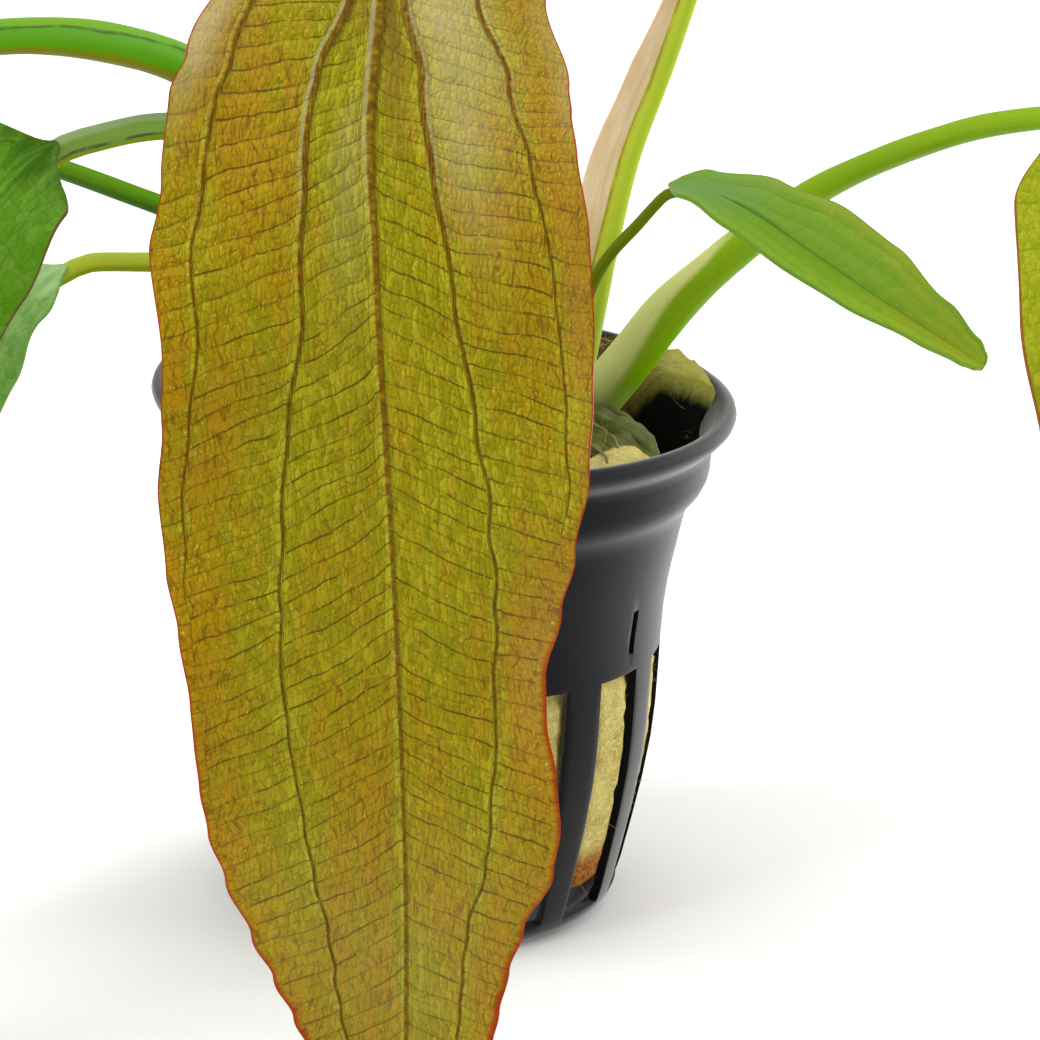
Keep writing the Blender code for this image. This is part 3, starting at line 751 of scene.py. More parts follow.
class Nodes:
    """Writes a material's or a group's nodes: each call adds one and returns its output."""

    def __init__(self, tree):
        self.tree = tree

    def feed(self, socket, value):
        if isinstance(value, Value):
            self.tree.links.new(value.socket, socket)
        else:
            if socket.type == "RGBA" and len(value) == 3:
                value = (*value, 1)
            socket.default_value = value

    def values(self, node):
        return [Value(self, socket) for socket in node.outputs]

    def made(self, kind, given, output=0, **settings):
        """A new node with its settings and inputs, of which one output is used."""
        node = self.tree.nodes.new(kind)
        for key, value in settings.items():
            setattr(node, key, value)
        for key, value in given.items():
            self.feed(node.inputs[key], value)
        return Value(self, node.outputs[output])

    def math(self, operation, *values):
        return self.made("ShaderNodeMath", dict(enumerate(values)), operation=operation)

    def ramp(self, value, low, high, to_low=0.0, to_high=1.0):
        """A smooth step of value between low and high."""
        given = {"Value": value, "From Min": low, "From Max": high, "To Min": to_low, "To Max": to_high}
        return self.made("ShaderNodeMapRange", given, "Result", interpolation_type="SMOOTHSTEP")

    def mix(self, share, a, b):
        return self.made("ShaderNodeMix", {0: share, 6: a, 7: b}, 2, data_type="RGBA")

    def noise(self, place, scale, detail=2.0, rough=0.5, distortion=0.0, output="Fac"):
        given = dict(Vector=place, Scale=scale, Detail=detail, Roughness=rough, Distortion=distortion)
        return self.made("ShaderNodeTexNoise", given, output)

    def cells(self, place, feature, output):
        """One cell for each whole step of the place."""
        given = dict(Vector=place, Scale=1.0)
        return self.made("ShaderNodeTexVoronoi", given, output, feature=feature, voronoi_dimensions="2D")

    def parts(self, vector):
        return self.values(self.made("ShaderNodeSeparateXYZ", {0: vector}).socket.node)

    def vector(self, x=0.0, y=0.0, z=0.0):
        return self.made("ShaderNodeCombineXYZ", {0: x, 1: y, 2: z})

    def stretched(self, x, y, x_scale, y_scale, z=0.0):
        return self.vector(x * x_scale, y * y_scale, z)

    def attribute(self, name):
        return self.made("ShaderNodeAttribute", {}, "Vector", attribute_name=name)

    def object_place(self):
        return self.made("ShaderNodeTexCoord", {}, "Object")

    def group(self, group, **inputs):
        given = {socket_name(key): value for key, value in inputs.items()}
        node = self.made("ShaderNodeGroup", given, node_tree=group).socket.node
        return {value.socket.name.lower(): value for value in self.values(node)}

    def results(self, **values):
        """What the group gives out."""
        sockets = self.tree.nodes.new("NodeGroupOutput").inputs
        for key, value in values.items():
            self.feed(sockets[socket_name(key)], value)


class Surface(Nodes):
    """A new material's nodes round its one shader."""

    def __init__(self, name, specular):
        self.material = bpy.data.materials.new(name)
        self.material.use_nodes = True
        super().__init__(self.material.node_tree)
        self.shader = self.tree.nodes["Principled BSDF"]
        self.shader.inputs["Specular IOR Level"].default_value = specular

    def finish(self, colour, rough, height, strength, distance):
        """Feeds the colour, the roughness and small bumps of a height in millimetres."""
        bumps = {"Strength": strength, "Distance": distance * MM, "Height": height}
        self.feed(self.shader.inputs["Base Color"], colour)
        self.feed(self.shader.inputs["Roughness"], rough)
        self.feed(self.shader.inputs["Normal"], self.made("ShaderNodeBump", bumps))
        return self.material


def new_group(name, inputs, outputs):
    """An empty node group, its nodes and its inputs. An input's value tells its kind: a number, three for a
    vector, four for a colour."""
    group = bpy.data.node_groups.new(name, "ShaderNodeTree")
    kinds = {1: "NodeSocketFloat", 3: "NodeSocketVector", 4: "NodeSocketColor"}
    for key, value in inputs.items():
        size = len(value) if isinstance(value, tuple) else 1
        made = group.interface.new_socket(socket_name(key), in_out="INPUT", socket_type=kinds[size])
        made.default_value = value
    for key in outputs:
        kind = kinds[4 if key == "color" else 1]
        group.interface.new_socket(socket_name(key), in_out="OUTPUT", socket_type=kind)
    n = Nodes(group)
    given = n.values(group.nodes.new("NodeGroupInput"))
    return group, n, SimpleNamespace(**dict(zip(inputs, given)))


ORIGIN, BLACK = (0.0, 0.0, 0.0), (0.0, 0.0, 0.0, 1.0)
VEIN_MASKS = ("core", "lit", "edge", "beside", "cross", "net", "cells")
BLADE_PAINTS = ("green", "light", "brown", "streak", "vein", "vein_edge", "cross_vein", "margin", "bloom")
STALK_PAINTS = ("low", "middle", "high", "dark", "foot")


def venation_group():
    """The main veins, the cross veins and the net between them, from the blade's own attributes."""
    group, n, given = new_group(
        "leaf venation",
        dict(
            place=ORIGIN, distances=ORIGIN, spacing=1.9, slope=0.62, cross_width=0.075, net_scale=1.0,
            vein_width=0.17,
        ),
        (*VEIN_MASKS, "height"),
    )
    line, along, across = n.parts(given.place)
    near, outward, _ = n.parts(given.distances)
    size = abs(line)
    field = n.math("FLOOR", n.math("MINIMUM", size, 2.99))
    side = n.math("SIGN", line)
    flat = n.vector(across, along, field * 7.0)

    # Cross veins leave a main vein steeply and then flatten out. Those of the outer fields slope less.
    slope = given.slope / (1.0 + field * 0.45)
    run = (outward + 0.02) ** 0.88
    start = along - run * slope
    count = start / given.spacing + field * 0.37 + side * 0.21
    for scale, share in ((0.13, 1.2), (0.8, 0.2), (3.0, 0.06)):
        count = count + (n.noise(flat, scale, detail=1.0) - 0.5) * share
    away = abs(n.math("FRACT", count) - 0.5)
    distance = (0.5 - away) * given.spacing
    wide = given.cross_width
    cross = n.ramp(distance, wide * 0.2, wide * 1.5, 1.0, 0.0)
    own = n.vector(n.math("FLOOR", count + 0.5), field * 3.0 + side)
    strong = n.made("ShaderNodeTexWhiteNoise", {"Vector": own}, "Value", noise_dimensions="2D")
    fade = n.ramp(strong, 0.0, 0.5, 0.6, 1.0)
    uneven = n.ramp(n.noise(flat, 0.5, detail=1.0), 0.3, 0.6, 0.4, 1.0)
    cross = cross * fade * (uneven * n.ramp(size, 2.0, 2.3, 1.0, 0.7))
    # Fainter ones run halfway between
    halfway = away * given.spacing
    minor = n.ramp(halfway, wide * 0.2, wide * 1.3, 0.4, 0.0)
    cross = n.math("MAXIMUM", cross, minor * n.ramp(n.noise(flat, 0.6), 0.42, 0.6))

    # The net: narrow cells that lie along the leaf
    warp_x, warp_y, _ = n.parts(n.noise(flat, 1.2, output="Color"))
    x = across * 2.4 + warp_x * 0.9
    y = along * (0.62 + field * 0.5) + warp_y * 1.1
    place = n.stretched(x, y, given.net_scale, given.net_scale, field * 5.0)
    edge = n.cells(place, "DISTANCE_TO_EDGE", "Distance")
    net = n.ramp(edge, 0.02, 0.13, 1.0, 0.0)
    net = net * n.ramp(n.noise(flat, 1.4), 0.38, 0.6, 0.1, 1.0)

    # The main veins thin out outwards, and the margin isn't one of them
    thin = given.vein_width / (1.0 + n.math("ROUND", size) * 0.45)
    inside = n.ramp(size, 2.5, 2.51, 1.0, 0.0)
    # A vein is brown on its line, with a painted highlight on its outer side and painted shade on its inner
    # side
    inward = n.math("SIGN", n.math("ROUND", line) - line) * n.ramp(line, 0.49, 0.51, -1.0, 1.0)
    aside = near * inward
    off = abs(aside - thin * 0.2)
    core = n.ramp(off, thin * 0.35, thin * 1.0, 1.0, 0.0) * inside
    lit = n.ramp(aside, thin * -3.0, thin * -1.6)
    lit = lit * n.ramp(aside, thin * -0.9, thin * -0.3, 1.0, 0.0) * inside
    lit = lit * n.ramp(size, 1.45, 1.55, 1.0, 0.15)
    painted_shade_flank = n.ramp(aside, thin * 1.0, thin * 2.4, 1.0, 0.0)
    painted_shade_flank = painted_shade_flank * n.ramp(aside, thin * 0.4, thin * 0.9) * inside
    beside = n.ramp(near, thin * 1.5, 2.0, 1.0, 0.0) * inside
    beside = beside * n.ramp(n.noise(flat, 0.55), 0.36, 0.62, 0.15, 1.0)
    height = n.ramp(edge, 0.0, 0.4) * 0.5 + n.ramp(distance, 0.0, given.spacing * 0.35) * 0.8
    shades = n.parts(n.cells(place, "F1", "Color"))[0]
    n.results(
        core=core, lit=lit, edge=painted_shade_flank, beside=beside, cross=cross, net=net, cells=shades, height=height,
    )
    return group


def blade_colour_group():
    """A blade's colours over its veins: tissue, brown patches, fine streaks, veins and the margin's line,
    with painted sheen, painted shade, painted glints, and painted highlights and shade along the veins.
    """
    group, n, given = new_group(
        "leaf colour",
        dict(
            place=ORIGIN, distances=ORIGIN, patches=ORIGIN, **dict.fromkeys(VEIN_MASKS, 0.0),
            **dict.fromkeys(BLADE_PAINTS, BLACK), glint=BLACK, vein_light=BLACK, brown_share=0.0,
            margin_brown=0.5, vein_strength=0.9, side_veins=1.0, cross_strength=0.8, net_strength=0.5,
            streaks=0.6, glints=0.0, bloom_share=0.0, bloom_length=20.0,
        ),
        ("color", "grain"),
    )
    line, along, across = n.parts(given.place)
    _, _, edge = n.parts(given.distances)
    pale, browner, _ = n.parts(given.patches)
    size = abs(line)
    side = n.math("SIGN", line) * 3.0
    broad = n.noise(n.stretched(across, along, 0.16, 0.05, side), 1.0, detail=3.0, rough=0.6)
    patch = n.noise(n.stretched(across, along, 0.9, 0.28, side), 1.0, detail=4.0, rough=0.62)
    warp = n.noise(n.stretched(across, along, 0.5, 0.5), 1.0, detail=1.0) * 1.8
    streak = n.noise(n.stretched(across + warp, along, 3.4, 0.55, side), 1.0, detail=3.0, rough=0.6)
    grain = n.noise(n.stretched(across, along, 5.0, 3.4), 1.0, detail=3.0, rough=0.65)
    dots = n.noise(n.stretched(across, along, 4.2, 2.6, 8.0), 1.0, detail=1.0)

    # Brown covers the green more towards the margins and less beside the main veins
    outer = n.ramp(size, 0.5, 2.6) * given.margin_brown
    cover = broad * 1.3 + patch * 0.8 + outer + given.brown_share + browner
    cover = cover - given.beside * 0.3
    cover = cover + (given.cells - 0.5) * 0.14
    cover = n.ramp(cover, 0.85, 1.6)
    near_vein = given.beside * given.side_veins * 0.2
    light = grain * 0.7 + given.cells * 0.35 + near_vein
    tissue = n.mix(n.ramp(light, 0.36, 0.80), given.green, given.light)
    tissue = n.mix(cover, tissue, given.brown)
    lines = n.ramp(streak, 0.5, 0.66) * (given.streaks * n.ramp(cover, 0.0, 0.8, 0.35, 1.0))
    tissue = n.mix(lines, tissue, given.streak)
    tissue = n.mix(n.ramp(grain, 0.56, 0.74) * (given.streaks * 0.4), tissue, given.light)
    tissue = n.mix(given.net * given.net_strength, tissue, given.streak)
    tissue = n.mix(given.cross * given.cross_strength, tissue, given.cross_vein)
    tissue = n.mix(n.ramp(dots, 0.66, 0.74) * given.glints, tissue, given.glint)
    # Painted shade: where the leaf's patches are below zero, the tissue darkens towards the streak colour
    tissue = n.mix(n.ramp(pale, -1.0, 0.0, 1.0, 0.0), tissue, given.streak)
    # Painted sheen: a pale tint lies on the blade near its foot, in patches, and where the leaf's patches are
    # above zero
    foot = n.ramp(along, given.bloom_length * 0.3, given.bloom_length * 1.6, 1.0, 0.0)
    bloom = n.ramp(broad + foot * 0.3 + (patch - 0.5) * 0.5, 0.55, 0.95)
    bloom = bloom * foot * given.bloom_share
    soft = n.math("MAXIMUM", pale, 0.0) * n.ramp(streak * 0.5 + patch * 0.5, 0.3, 0.62, 0.55, 1.0)
    tissue = n.mix(n.math("MINIMUM", bloom + soft, 0.9), tissue, given.bloom)
    shown = given.vein_strength * n.ramp(size, 0.4, 0.6, 1.0, given.side_veins)
    # The veins' painted shade and painted highlights; the highlights fade away from the blade's foot
    glossy = n.ramp(along, given.bloom_length * 0.9, given.bloom_length * 1.25, 0.8, 0.06)
    tissue = n.mix(given.edge * 0.75 * shown, tissue, given.vein_edge)
    tissue = n.mix(given.lit * glossy * (shown * 0.85), tissue, given.vein_light)
    beads = n.noise(n.stretched(across, along, 1.0, 1.3, 3.0), 1.0, detail=3.0)
    beads = n.ramp(beads, 0.36, 0.6, 0.55, 1.0)
    tissue = n.mix(given.core * shown * beads, tissue, given.vein)
    tissue = n.mix(n.ramp(edge, 0.04, 0.17, 0.9, 0.0), tissue, given.margin)
    n.results(color=tissue, grain=grain * 0.6 + streak * 0.5)
    return group


VENATION = venation_group()
BLADE_COLOUR = blade_colour_group()


def leaf_material(name, colours, rough, specular, bump, veins=None, **shares):
    """A living blade, its colours in the order of BLADE_PAINTS."""
    n = Surface(name, specular)
    at = dict(place=n.attribute("blade"), distances=n.attribute("veins"))
    found = n.group(VENATION, **at, **(veins or {}))
    masks = {key: found[key] for key in VEIN_MASKS}
    paints = {key: seen(*colour) for key, colour in zip(BLADE_PAINTS, colours)}
    out = n.group(BLADE_COLOUR, **at, patches=n.attribute("patches"), **masks, **paints, **shares)
    height = found["height"] + out["grain"] * 0.7
    return n.finish(out["color"], out["grain"] * 0.25 + (rough - 0.14), height, bump, 0.14)


def stalk_colour_group():
    """A stalk's colours round and along it: three tones across, partly painted light, a dark line, long
    streaks and specks.
    """
    group, n, given = new_group(
        "stalk colour",
        dict(
            stem=ORIGIN, **dict.fromkeys(STALK_PAINTS, BLACK), low_end=-0.3, low_taper=0.0, high_start=0.3,
            softness=0.25, line_at=0.0, line=0.0, line_width=0.06, streaks=0.3, specks=0.3, foot_length=6.0,
        ),
        ("color", "grain"),
    )
    across, toward, along = n.parts(given.stem)
    fine = n.noise(n.vector(across * 6.0, toward * 6.0, along * 0.1), 1.3, detail=4.0)
    wander = (n.noise(n.vector(across, toward, along * 0.12), 1.0) - 0.5) * 0.5
    spread = across + wander
    soft = given.softness
    # Three tones across: partly the stalk's own tones, partly painted light, the paler band standing for its
    # lit side and sheen
    low_end = given.low_end - along * given.low_taper
    low = n.ramp(spread, low_end - soft, low_end + soft, 1.0, 0.0)
    high = n.ramp(spread, given.high_start - soft, given.high_start + soft)
    colour = n.mix(low, given.middle, given.low)
    colour = n.mix(high, colour, given.high)
    foot = n.ramp(along + fine * 6.0, given.foot_length, given.foot_length + 9.0, 1.0, 0.0)
    colour = n.mix(foot, colour, given.foot)
    colour = n.mix(n.ramp(fine, 0.5, 0.68) * given.streaks, colour, given.dark)
    off = abs(spread - given.line_at)
    broken = n.ramp(n.noise(n.vector(0.0, 2.0, along * 0.35), 1.0, detail=3.0), 0.3, 0.55)
    crease = n.ramp(off, given.line_width * 0.3, given.line_width, 1.0, 0.0) * broken
    crease = crease * n.ramp(toward, -0.1, 0.2)
    colour = n.mix(crease * given.line, colour, given.dark)
    specks = n.ramp(n.noise(n.vector(across, toward, along * 0.5), 2.0), 0.7, 0.76)
    colour = n.mix(specks * given.specks, colour, given.dark)
    cells = n.noise(n.vector(across * 4.0, toward * 4.0, along * 1.2), 2.0, detail=3.0)
    n.results(color=colour, grain=fine * 0.7 + cells * 0.3)
    return group


STALK_COLOUR = stalk_colour_group()


def stalk_material(name, *colours, **shares):
    """A stalk, its colours in the order of STALK_PAINTS."""
    n = Surface(name, 0.04)
    paints = {key: seen(*colour) for key, colour in zip(STALK_PAINTS, colours)}
    out = n.group(STALK_COLOUR, stem=n.attribute("stem"), **paints, **shares)
    return n.finish(out["color"], out["grain"] * 0.3 + 0.25, out["grain"], 0.45, 0.12)


def limp_material(name, inner, outer, rib, lit, rough, ribbed):
    """A thin dead skin: faint ribs along it, torn darker edges and soft folds."""
    n = Surface(name, 0.15)
    share, along, across = n.parts(n.attribute("blade"))
    broad = n.noise(n.stretched(across, along, 0.5, 0.15), 1.0, detail=3.0)
    ribs = n.noise(n.stretched(across, along, 3.2, 0.12), 1.0, detail=3.0, rough=0.6)
    colour = n.mix(n.ramp(abs(share), 0.2, 1.0), seen(*inner), seen(*outer))
    colour = n.mix(n.ramp(broad, 0.4, 0.7) * 0.6, colour, seen(*lit))
    colour = n.mix(n.ramp(ribs, 0.44, 0.66) * ribbed, colour, seen(*rib))
    return n.finish(colour, broad * 0.2 + (rough - 0.1), ribs, ribbed, 0.12)


def plastic_material():
    """Moulded dark plastic: a fine matt skin with flow marks, dusty at a flat angle, paler on its rim."""
    n = Surface("pot plastic", 0.05)
    n.shader.inputs["Sheen Weight"].default_value = 0.6
    n.shader.inputs["Sheen Roughness"].default_value = 0.37
    place = n.object_place()
    x, y, height = n.parts(place)
    fine = n.noise(place, 7000.0)
    broad = n.noise(place, 70.0, detail=3.0)
    scuff = n.noise(place, 500.0, detail=4.0, rough=0.7)
    colour = n.mix(n.ramp(broad, 0.35, 0.7), (0.0008, 0.0012, 0.0014), (0.002, 0.0025, 0.003))
    colour = n.mix(n.ramp(scuff, 0.6, 0.75) * 0.2, colour, (0.012, 0.012, 0.014))
    outward = n.math("SQRT", x * x + y * y)
    rim = n.ramp(height, 46.0 * MM, 49.0 * MM) * n.ramp(outward, 25.4 * MM, 26.2 * MM)
    colour = n.mix(rim, colour, (0.012, 0.0115, 0.014))
    return n.finish(colour, fine * 0.1 + scuff * 0.16 + 0.34, fine + broad * 3.0, 0.2, 0.03)


def wool_material():
    """Damp mineral wool: yellow olive with brown stains and fine fibres, with painted shade making it nearly
    black down in the hollow.
    """
    n = Surface("rock wool", 0.1)
    place = n.object_place()
    x, y, height = n.parts(place)
    deep, _, _ = n.parts(n.attribute("wool"))
    broad = n.noise(place, 130.0, detail=4.0, rough=0.6)
    fibre = n.noise(place, 1500.0, detail=5.0, rough=0.72, distortion=1.8)
    stain = n.noise(place, 75.0, detail=4.0, rough=0.65)
    colour = n.mix(n.ramp(broad, 0.35, 0.68), seen(172, 152, 70), seen(218, 200, 118))
    colour = n.mix(n.ramp(fibre, 0.42, 0.68) * 0.8, colour, seen(236, 224, 156))
    colour = n.mix(n.ramp(stain, 0.55, 0.68) * 0.8, colour, seen(150, 96, 30))
    # The lowest part has an orange brown stain
    low = n.ramp(height + stain * (9.0 * MM), 12.6 * MM, 14.6 * MM, 1.0, 0.0)
    rust = n.mix(n.ramp(fibre, 0.35, 0.65), seen(96, 52, 14), seen(186, 112, 34))
    colour = n.mix(low * 0.9, colour, rust)
    # The top is olive, with painted shade making it darker towards the plant
    top = n.mix(n.ramp(x, 17 * MM, 22.5 * MM), seen(78, 62, 16), seen(168, 164, 78))
    colour = n.mix(n.ramp(height, 44 * MM, 46.5 * MM) * n.ramp(y, -12 * MM, -7 * MM), colour, top)
    # Painted shade: the deeper down in the hollow, the nearer to black
    colour = n.mix(n.ramp(deep + fibre, 0.9, 2.8), colour, (0.002, 0.002, 0.001))
    return n.finish(colour, fibre * 0.2 + 0.72, fibre, 0.9, 0.3)


def speckled_material(name, dark, light, scale, rough, specular, bump):
    """A rough natural surface of two tones in fine specks."""
    n = Surface(name, specular)
    specks = n.noise(n.object_place(), scale, detail=4.0, rough=0.65)
    colour = n.mix(n.ramp(specks, 0.35, 0.66), seen(*dark), seen(*light))
    return n.finish(colour, specks * 0.2 + (rough - 0.1), specks, bump, 0.2)


def floor_material():
    n = Surface("white floor", 0.0)
    n.feed(n.shader.inputs["Base Color"], (0.93, 0.93, 0.93))
    n.feed(n.shader.inputs["Roughness"], 0.8)
    return n.material


# The slots of the blades that aren't olive
BLADE_SLOTS = {"green": "green_blade", "pale": "green_blade", "young": "young_blade"}
BLADE_LOOKS = {
    "front": leaf_material(
        "front blade",
        [(140, 138, 6), (174, 168, 34), (172, 130, 14), (110, 80, 2), (112, 66, 10), (90, 66, 6), (86, 66, 4),
         (158, 44, 20), (198, 180, 130)],
        rough=0.40, specular=0.06, bump=0.9, veins=dict(cross_width=0.09, spacing=1.7), brown_share=0.03,
        margin_brown=0.27, cross_strength=0.9, net_strength=0.55, streaks=0.75, glints=0.45, bloom_share=0.08,
        bloom_length=44.0, glint=seen(214, 198, 74), vein_light=seen(160, 148, 124),
    ),
    "olive": leaf_material(
        "olive blade",
        [(146, 158, 14), (172, 178, 44), (156, 136, 20), (120, 108, 12), (126, 104, 36), (100, 100, 18),
         (104, 108, 12), (146, 72, 28), (128, 172, 60)],
        rough=0.42, specular=0.08, bump=0.6, brown_share=-0.32, margin_brown=0.16, cross_strength=0.7,
        net_strength=0.3, streaks=0.5, bloom_share=0.6, bloom_length=16.0, vein_light=seen(150, 168, 70),
    ),
    "green": leaf_material(
        "green blade",
        [(92, 148, 24), (114, 162, 50), (64, 106, 18), (52, 98, 14), (60, 92, 26), (52, 90, 20),
         (48, 92, 10), (100, 66, 56), (52, 92, 18)],
        rough=0.42, specular=0.08, bump=0.3, veins=dict(spacing=2.6, net_scale=0.5),
        brown_share=-0.4, margin_brown=0.1, vein_strength=0.5, side_veins=0.5, cross_strength=0.4,
        net_strength=0.3, streaks=0.25, bloom_share=0.9, bloom_length=6.0, vein_light=seen(104, 150, 50),
    ),
    "pale": leaf_material(
        "pale blade",
        [(96, 142, 54), (124, 162, 84), (100, 140, 50), (90, 144, 48), (140, 176, 104), (100, 150, 60),
         (90, 146, 52), (112, 156, 66), (170, 200, 140)],
        rough=0.45, specular=0.1, bump=0.2, veins=dict(spacing=1.6, net_scale=0.8),
        brown_share=-0.6, margin_brown=0.0, vein_strength=0.4, side_veins=0.3, cross_strength=0.12,
        net_strength=0.1, streaks=0.25, bloom_share=0.8, bloom_length=5.0, vein_light=seen(160, 194, 126),
    ),
    "young": leaf_material(
        "young blade",
        [(118, 160, 38), (122, 162, 46), (150, 166, 44), (106, 152, 32), (48, 88, 26), (70, 114, 34),
         (102, 148, 34), (112, 152, 44), (112, 152, 88)],
        rough=0.4, specular=0.09, bump=0.12, veins=dict(spacing=1.4, net_scale=1.6, vein_width=0.34),
        brown_share=-0.1, margin_brown=0.2, vein_strength=1.0, side_veins=0.0, cross_strength=0.06,
        net_strength=0.05, streaks=0.1, bloom_share=0.6, bloom_length=12.0, vein_light=seen(120, 160, 50),
    ),
}

STALK_LOOKS = {
    "front": stalk_material(
        "front stalk", (128, 150, 50), (120, 156, 44), (150, 180, 90), (84, 80, 30), (190, 200, 130),
    ),
    "high_left": stalk_material(
        "high left stalk", (128, 130, 24), (88, 154, 8), (112, 164, 40), (62, 84, 40), (170, 190, 110),
        low_end=-0.58, high_start=0.62, softness=0.14, line_at=0.56, line=0.8, line_width=0.12, streaks=0.1,
        specks=0.1,
    ),
    "left": stalk_material(
        "left stalk", (124, 148, 22), (118, 152, 60), (140, 166, 110), (72, 80, 58), (170, 190, 110),
        low_end=-0.62, high_start=0.5, softness=0.16, line_at=-0.46, line=0.9, line_width=0.22, streaks=0.12,
        specks=0.1,
    ),
    "low_left": stalk_material(
        "low left stalk", (132, 152, 26), (170, 180, 52), (160, 178, 60), (110, 130, 22), (180, 190, 110),
        streaks=0.15,
    ),
    "back_left": stalk_material(
        "back left stalk", (60, 100, 0), (78, 120, 2), (86, 134, 6), (48, 86, 2), (150, 180, 90),
        streaks=0.15, specks=0.1,
    ),
    "tall": stalk_material(
        "tall stalk", (170, 178, 60), (166, 186, 50), (158, 184, 36), (130, 124, 20), (170, 182, 80),
        low_end=-0.6, softness=0.3, line_at=-0.95, line=0.7, line_width=0.12, streaks=0.12, specks=0.1,
    ),
    "right": stalk_material(
        "right stalk", (204, 208, 130), (134, 170, 32), (122, 166, 12), (60, 84, 10), (186, 190, 118),
        low_end=0.25, low_taper=0.045, softness=0.2, streaks=0.08, specks=0.25, foot_length=2.0,
    ),
    "small": stalk_material(
        "small stalk", (104, 116, 20), (98, 120, 20), (92, 122, 26), (64, 70, 8), (116, 124, 50),
        streaks=0.3,
    ),
}
SHEATH = limp_material(
    "dry sheath", (234, 206, 164), (226, 192, 150), (212, 170, 126), (246, 228, 196),
    rough=0.6, ribbed=0.3,
)
WITHERED = limp_material(
    "withered base", (84, 90, 36), (108, 112, 60), (62, 68, 22), (134, 136, 82),
    rough=0.35, ribbed=0.55,
)
PLASTIC = plastic_material()
WOOL = wool_material()
FIBRE = speckled_material(
    "wool fibre", (150, 138, 66), (200, 188, 116), scale=300.0, rough=0.7, specular=0.1, bump=0.2,
)
ROOTSTOCK = speckled_material(
    "rootstock", (66, 58, 22), (120, 112, 56), scale=600.0, rough=0.6, specular=0.2, bump=0.8,
)


# The net pot

# The cutting blocks reach through the wall, from inside it to outside the rim
SLOT_CUT_IN, SLIT_CUT_IN, CUT_OUT = 17.2, 18.0, 26.0
# Where the slots' and the floor holes' widths are taken
SLOT_WIDE_AT, HOLE_WIDE_AT = 21.2, 10
SOFT_EDGE = 0.16


def turned(name, profile, sides):
    """A closed cylinder with a ring of points for each row of the profile, and where its points belong."""
    obj, row, turn = rod(name, sides, len(profile))
    radius, height = np.array(profile, float)[row].T
    return obj, radius, height, turn


def block(angle_deg, wide, inner, outer, low, high):
    """A box on the pot's radius at an angle from the front, which an opening is cut with."""
    a = math.radians(angle_deg)
    middle = (inner + outer) / 2
    obj = added(
        "block", bpy.ops.mesh.primitive_cube_add, size=1,
        location=(middle * math.sin(a) * MM, -middle * math.cos(a) * MM, (low + high) / 2 * MM),
        rotation=(0, 0, a), scale=(wide * MM, (outer - inner) * MM, (high - low) * MM),
    )
    place_in_mesh(obj)
    return obj


def net_pot():
    """The pot turned from its profile, its slots, slits and floor holes cut out and its edges softened."""
    inside = [(r - POT_WALL, h) for r, h in reversed(POT_OUTSIDE[:-6]) if h > POT_FLOOR + 1.5]
    inside += [(17.9, 2.4), (17.2, POT_FLOOR + 0.4), (16.2, POT_FLOOR), (0.01, POT_FLOOR)]
    profile = [(0.01, 0.0), *POT_OUTSIDE, *POT_RIM_INSIDE, *inside]
    obj, radius, height, turn = turned("net_pot.look", profile, POT_SIDES)
    move_points(obj, np.stack([radius * np.cos(turn), radius * np.sin(turn), height], axis=1) * MM)

    slot_wide = 2 * math.sin(math.radians(SLOT_WIDE_DEG / 2)) * SLOT_WIDE_AT
    hole_wide = 2 * math.tan(math.radians(FLOOR_HOLE_DEG / 2)) * HOLE_WIDE_AT
    blocks = []
    for k in range(SLOTS):
        angle = SLOT_FROM_DEG + 360 / SLOTS * k
        blocks.append(block(angle, slot_wide, SLOT_CUT_IN, CUT_OUT, SLOT_LOW, SLOT_HIGH))
        if k % 2 == 0:
            angle += SLIT_OFFSET_DEG
            blocks.append(block(angle, SLIT_WIDE, SLIT_CUT_IN, CUT_OUT, SLIT_LOW, SLIT_HIGH))
    for k in range(FLOOR_HOLES):
        angle = 360 / FLOOR_HOLES * k
        blocks.append(block(angle, hole_wide, FLOOR_HOLE_IN, FLOOR_HOLE_OUT, -1, POT_FLOOR + 1))
    holes = join("pot_holes", blocks)
    openings = obj.modifiers.new("Openings", "BOOLEAN")
    openings.object = holes
    soften = obj.modifiers.new("Soft edges", "BEVEL")
    soften.width = SOFT_EDGE * MM
    soften.segments = 2
    soften.limit_method = "ANGLE"
    soften.angle_limit = math.radians(50)
    apply_all(obj)
    bpy.data.objects.remove(holes)
    smooth(obj, 40)
    return keep(obj, "pot_plastic", PLASTIC, "net_pot")


# The rock wool

WOOL_TOP = 45.0
WOOL_SIDES = 240
# The plug's underside from its middle to the wall, the heights up its sides and the radii over its top
WOOL_UNDER = [(0.01, 2.3), (6, 2.3), (12, 2.4), (15.8, 2.8), (17.2, 3.6)]
WOOL_SIDE_HEIGHTS = np.linspace(4.6, 44, 42)
WOOL_TOP_RADII = np.linspace(24.2, 0.01, 44)
# The gap between its sides and the wall, how far they sink besides, and how deep the dents are. Its lowest
# part, up to a height, lies a little further in.
WOOL_GAP, WOOL_SINKS, WOOL_ROUGH = 0.3, 0.1, 0.5
WOOL_LOW, WOOL_LOW_GAP = 5, 0.2
# Where the top swells up against the wall: direction from the front, spread, rise, and from where to where
WOOL_CRESTS = [(118, 48, 6), (46, 13, 3.9)]
CREST_FROM, CREST_OVER = 17.0, 3.0
# The wall's inside above that height, up to the rim: radius, height
POT_INSIDE_TOP = [(24.45, 45), (24.6, 46.7), *reversed(POT_RIM_INSIDE[1:])]
HOLLOW_AT, HOLLOW_RADII, HOLLOW_DEEP = (19.6, -4.0), (6.2, 9.6), 19.0
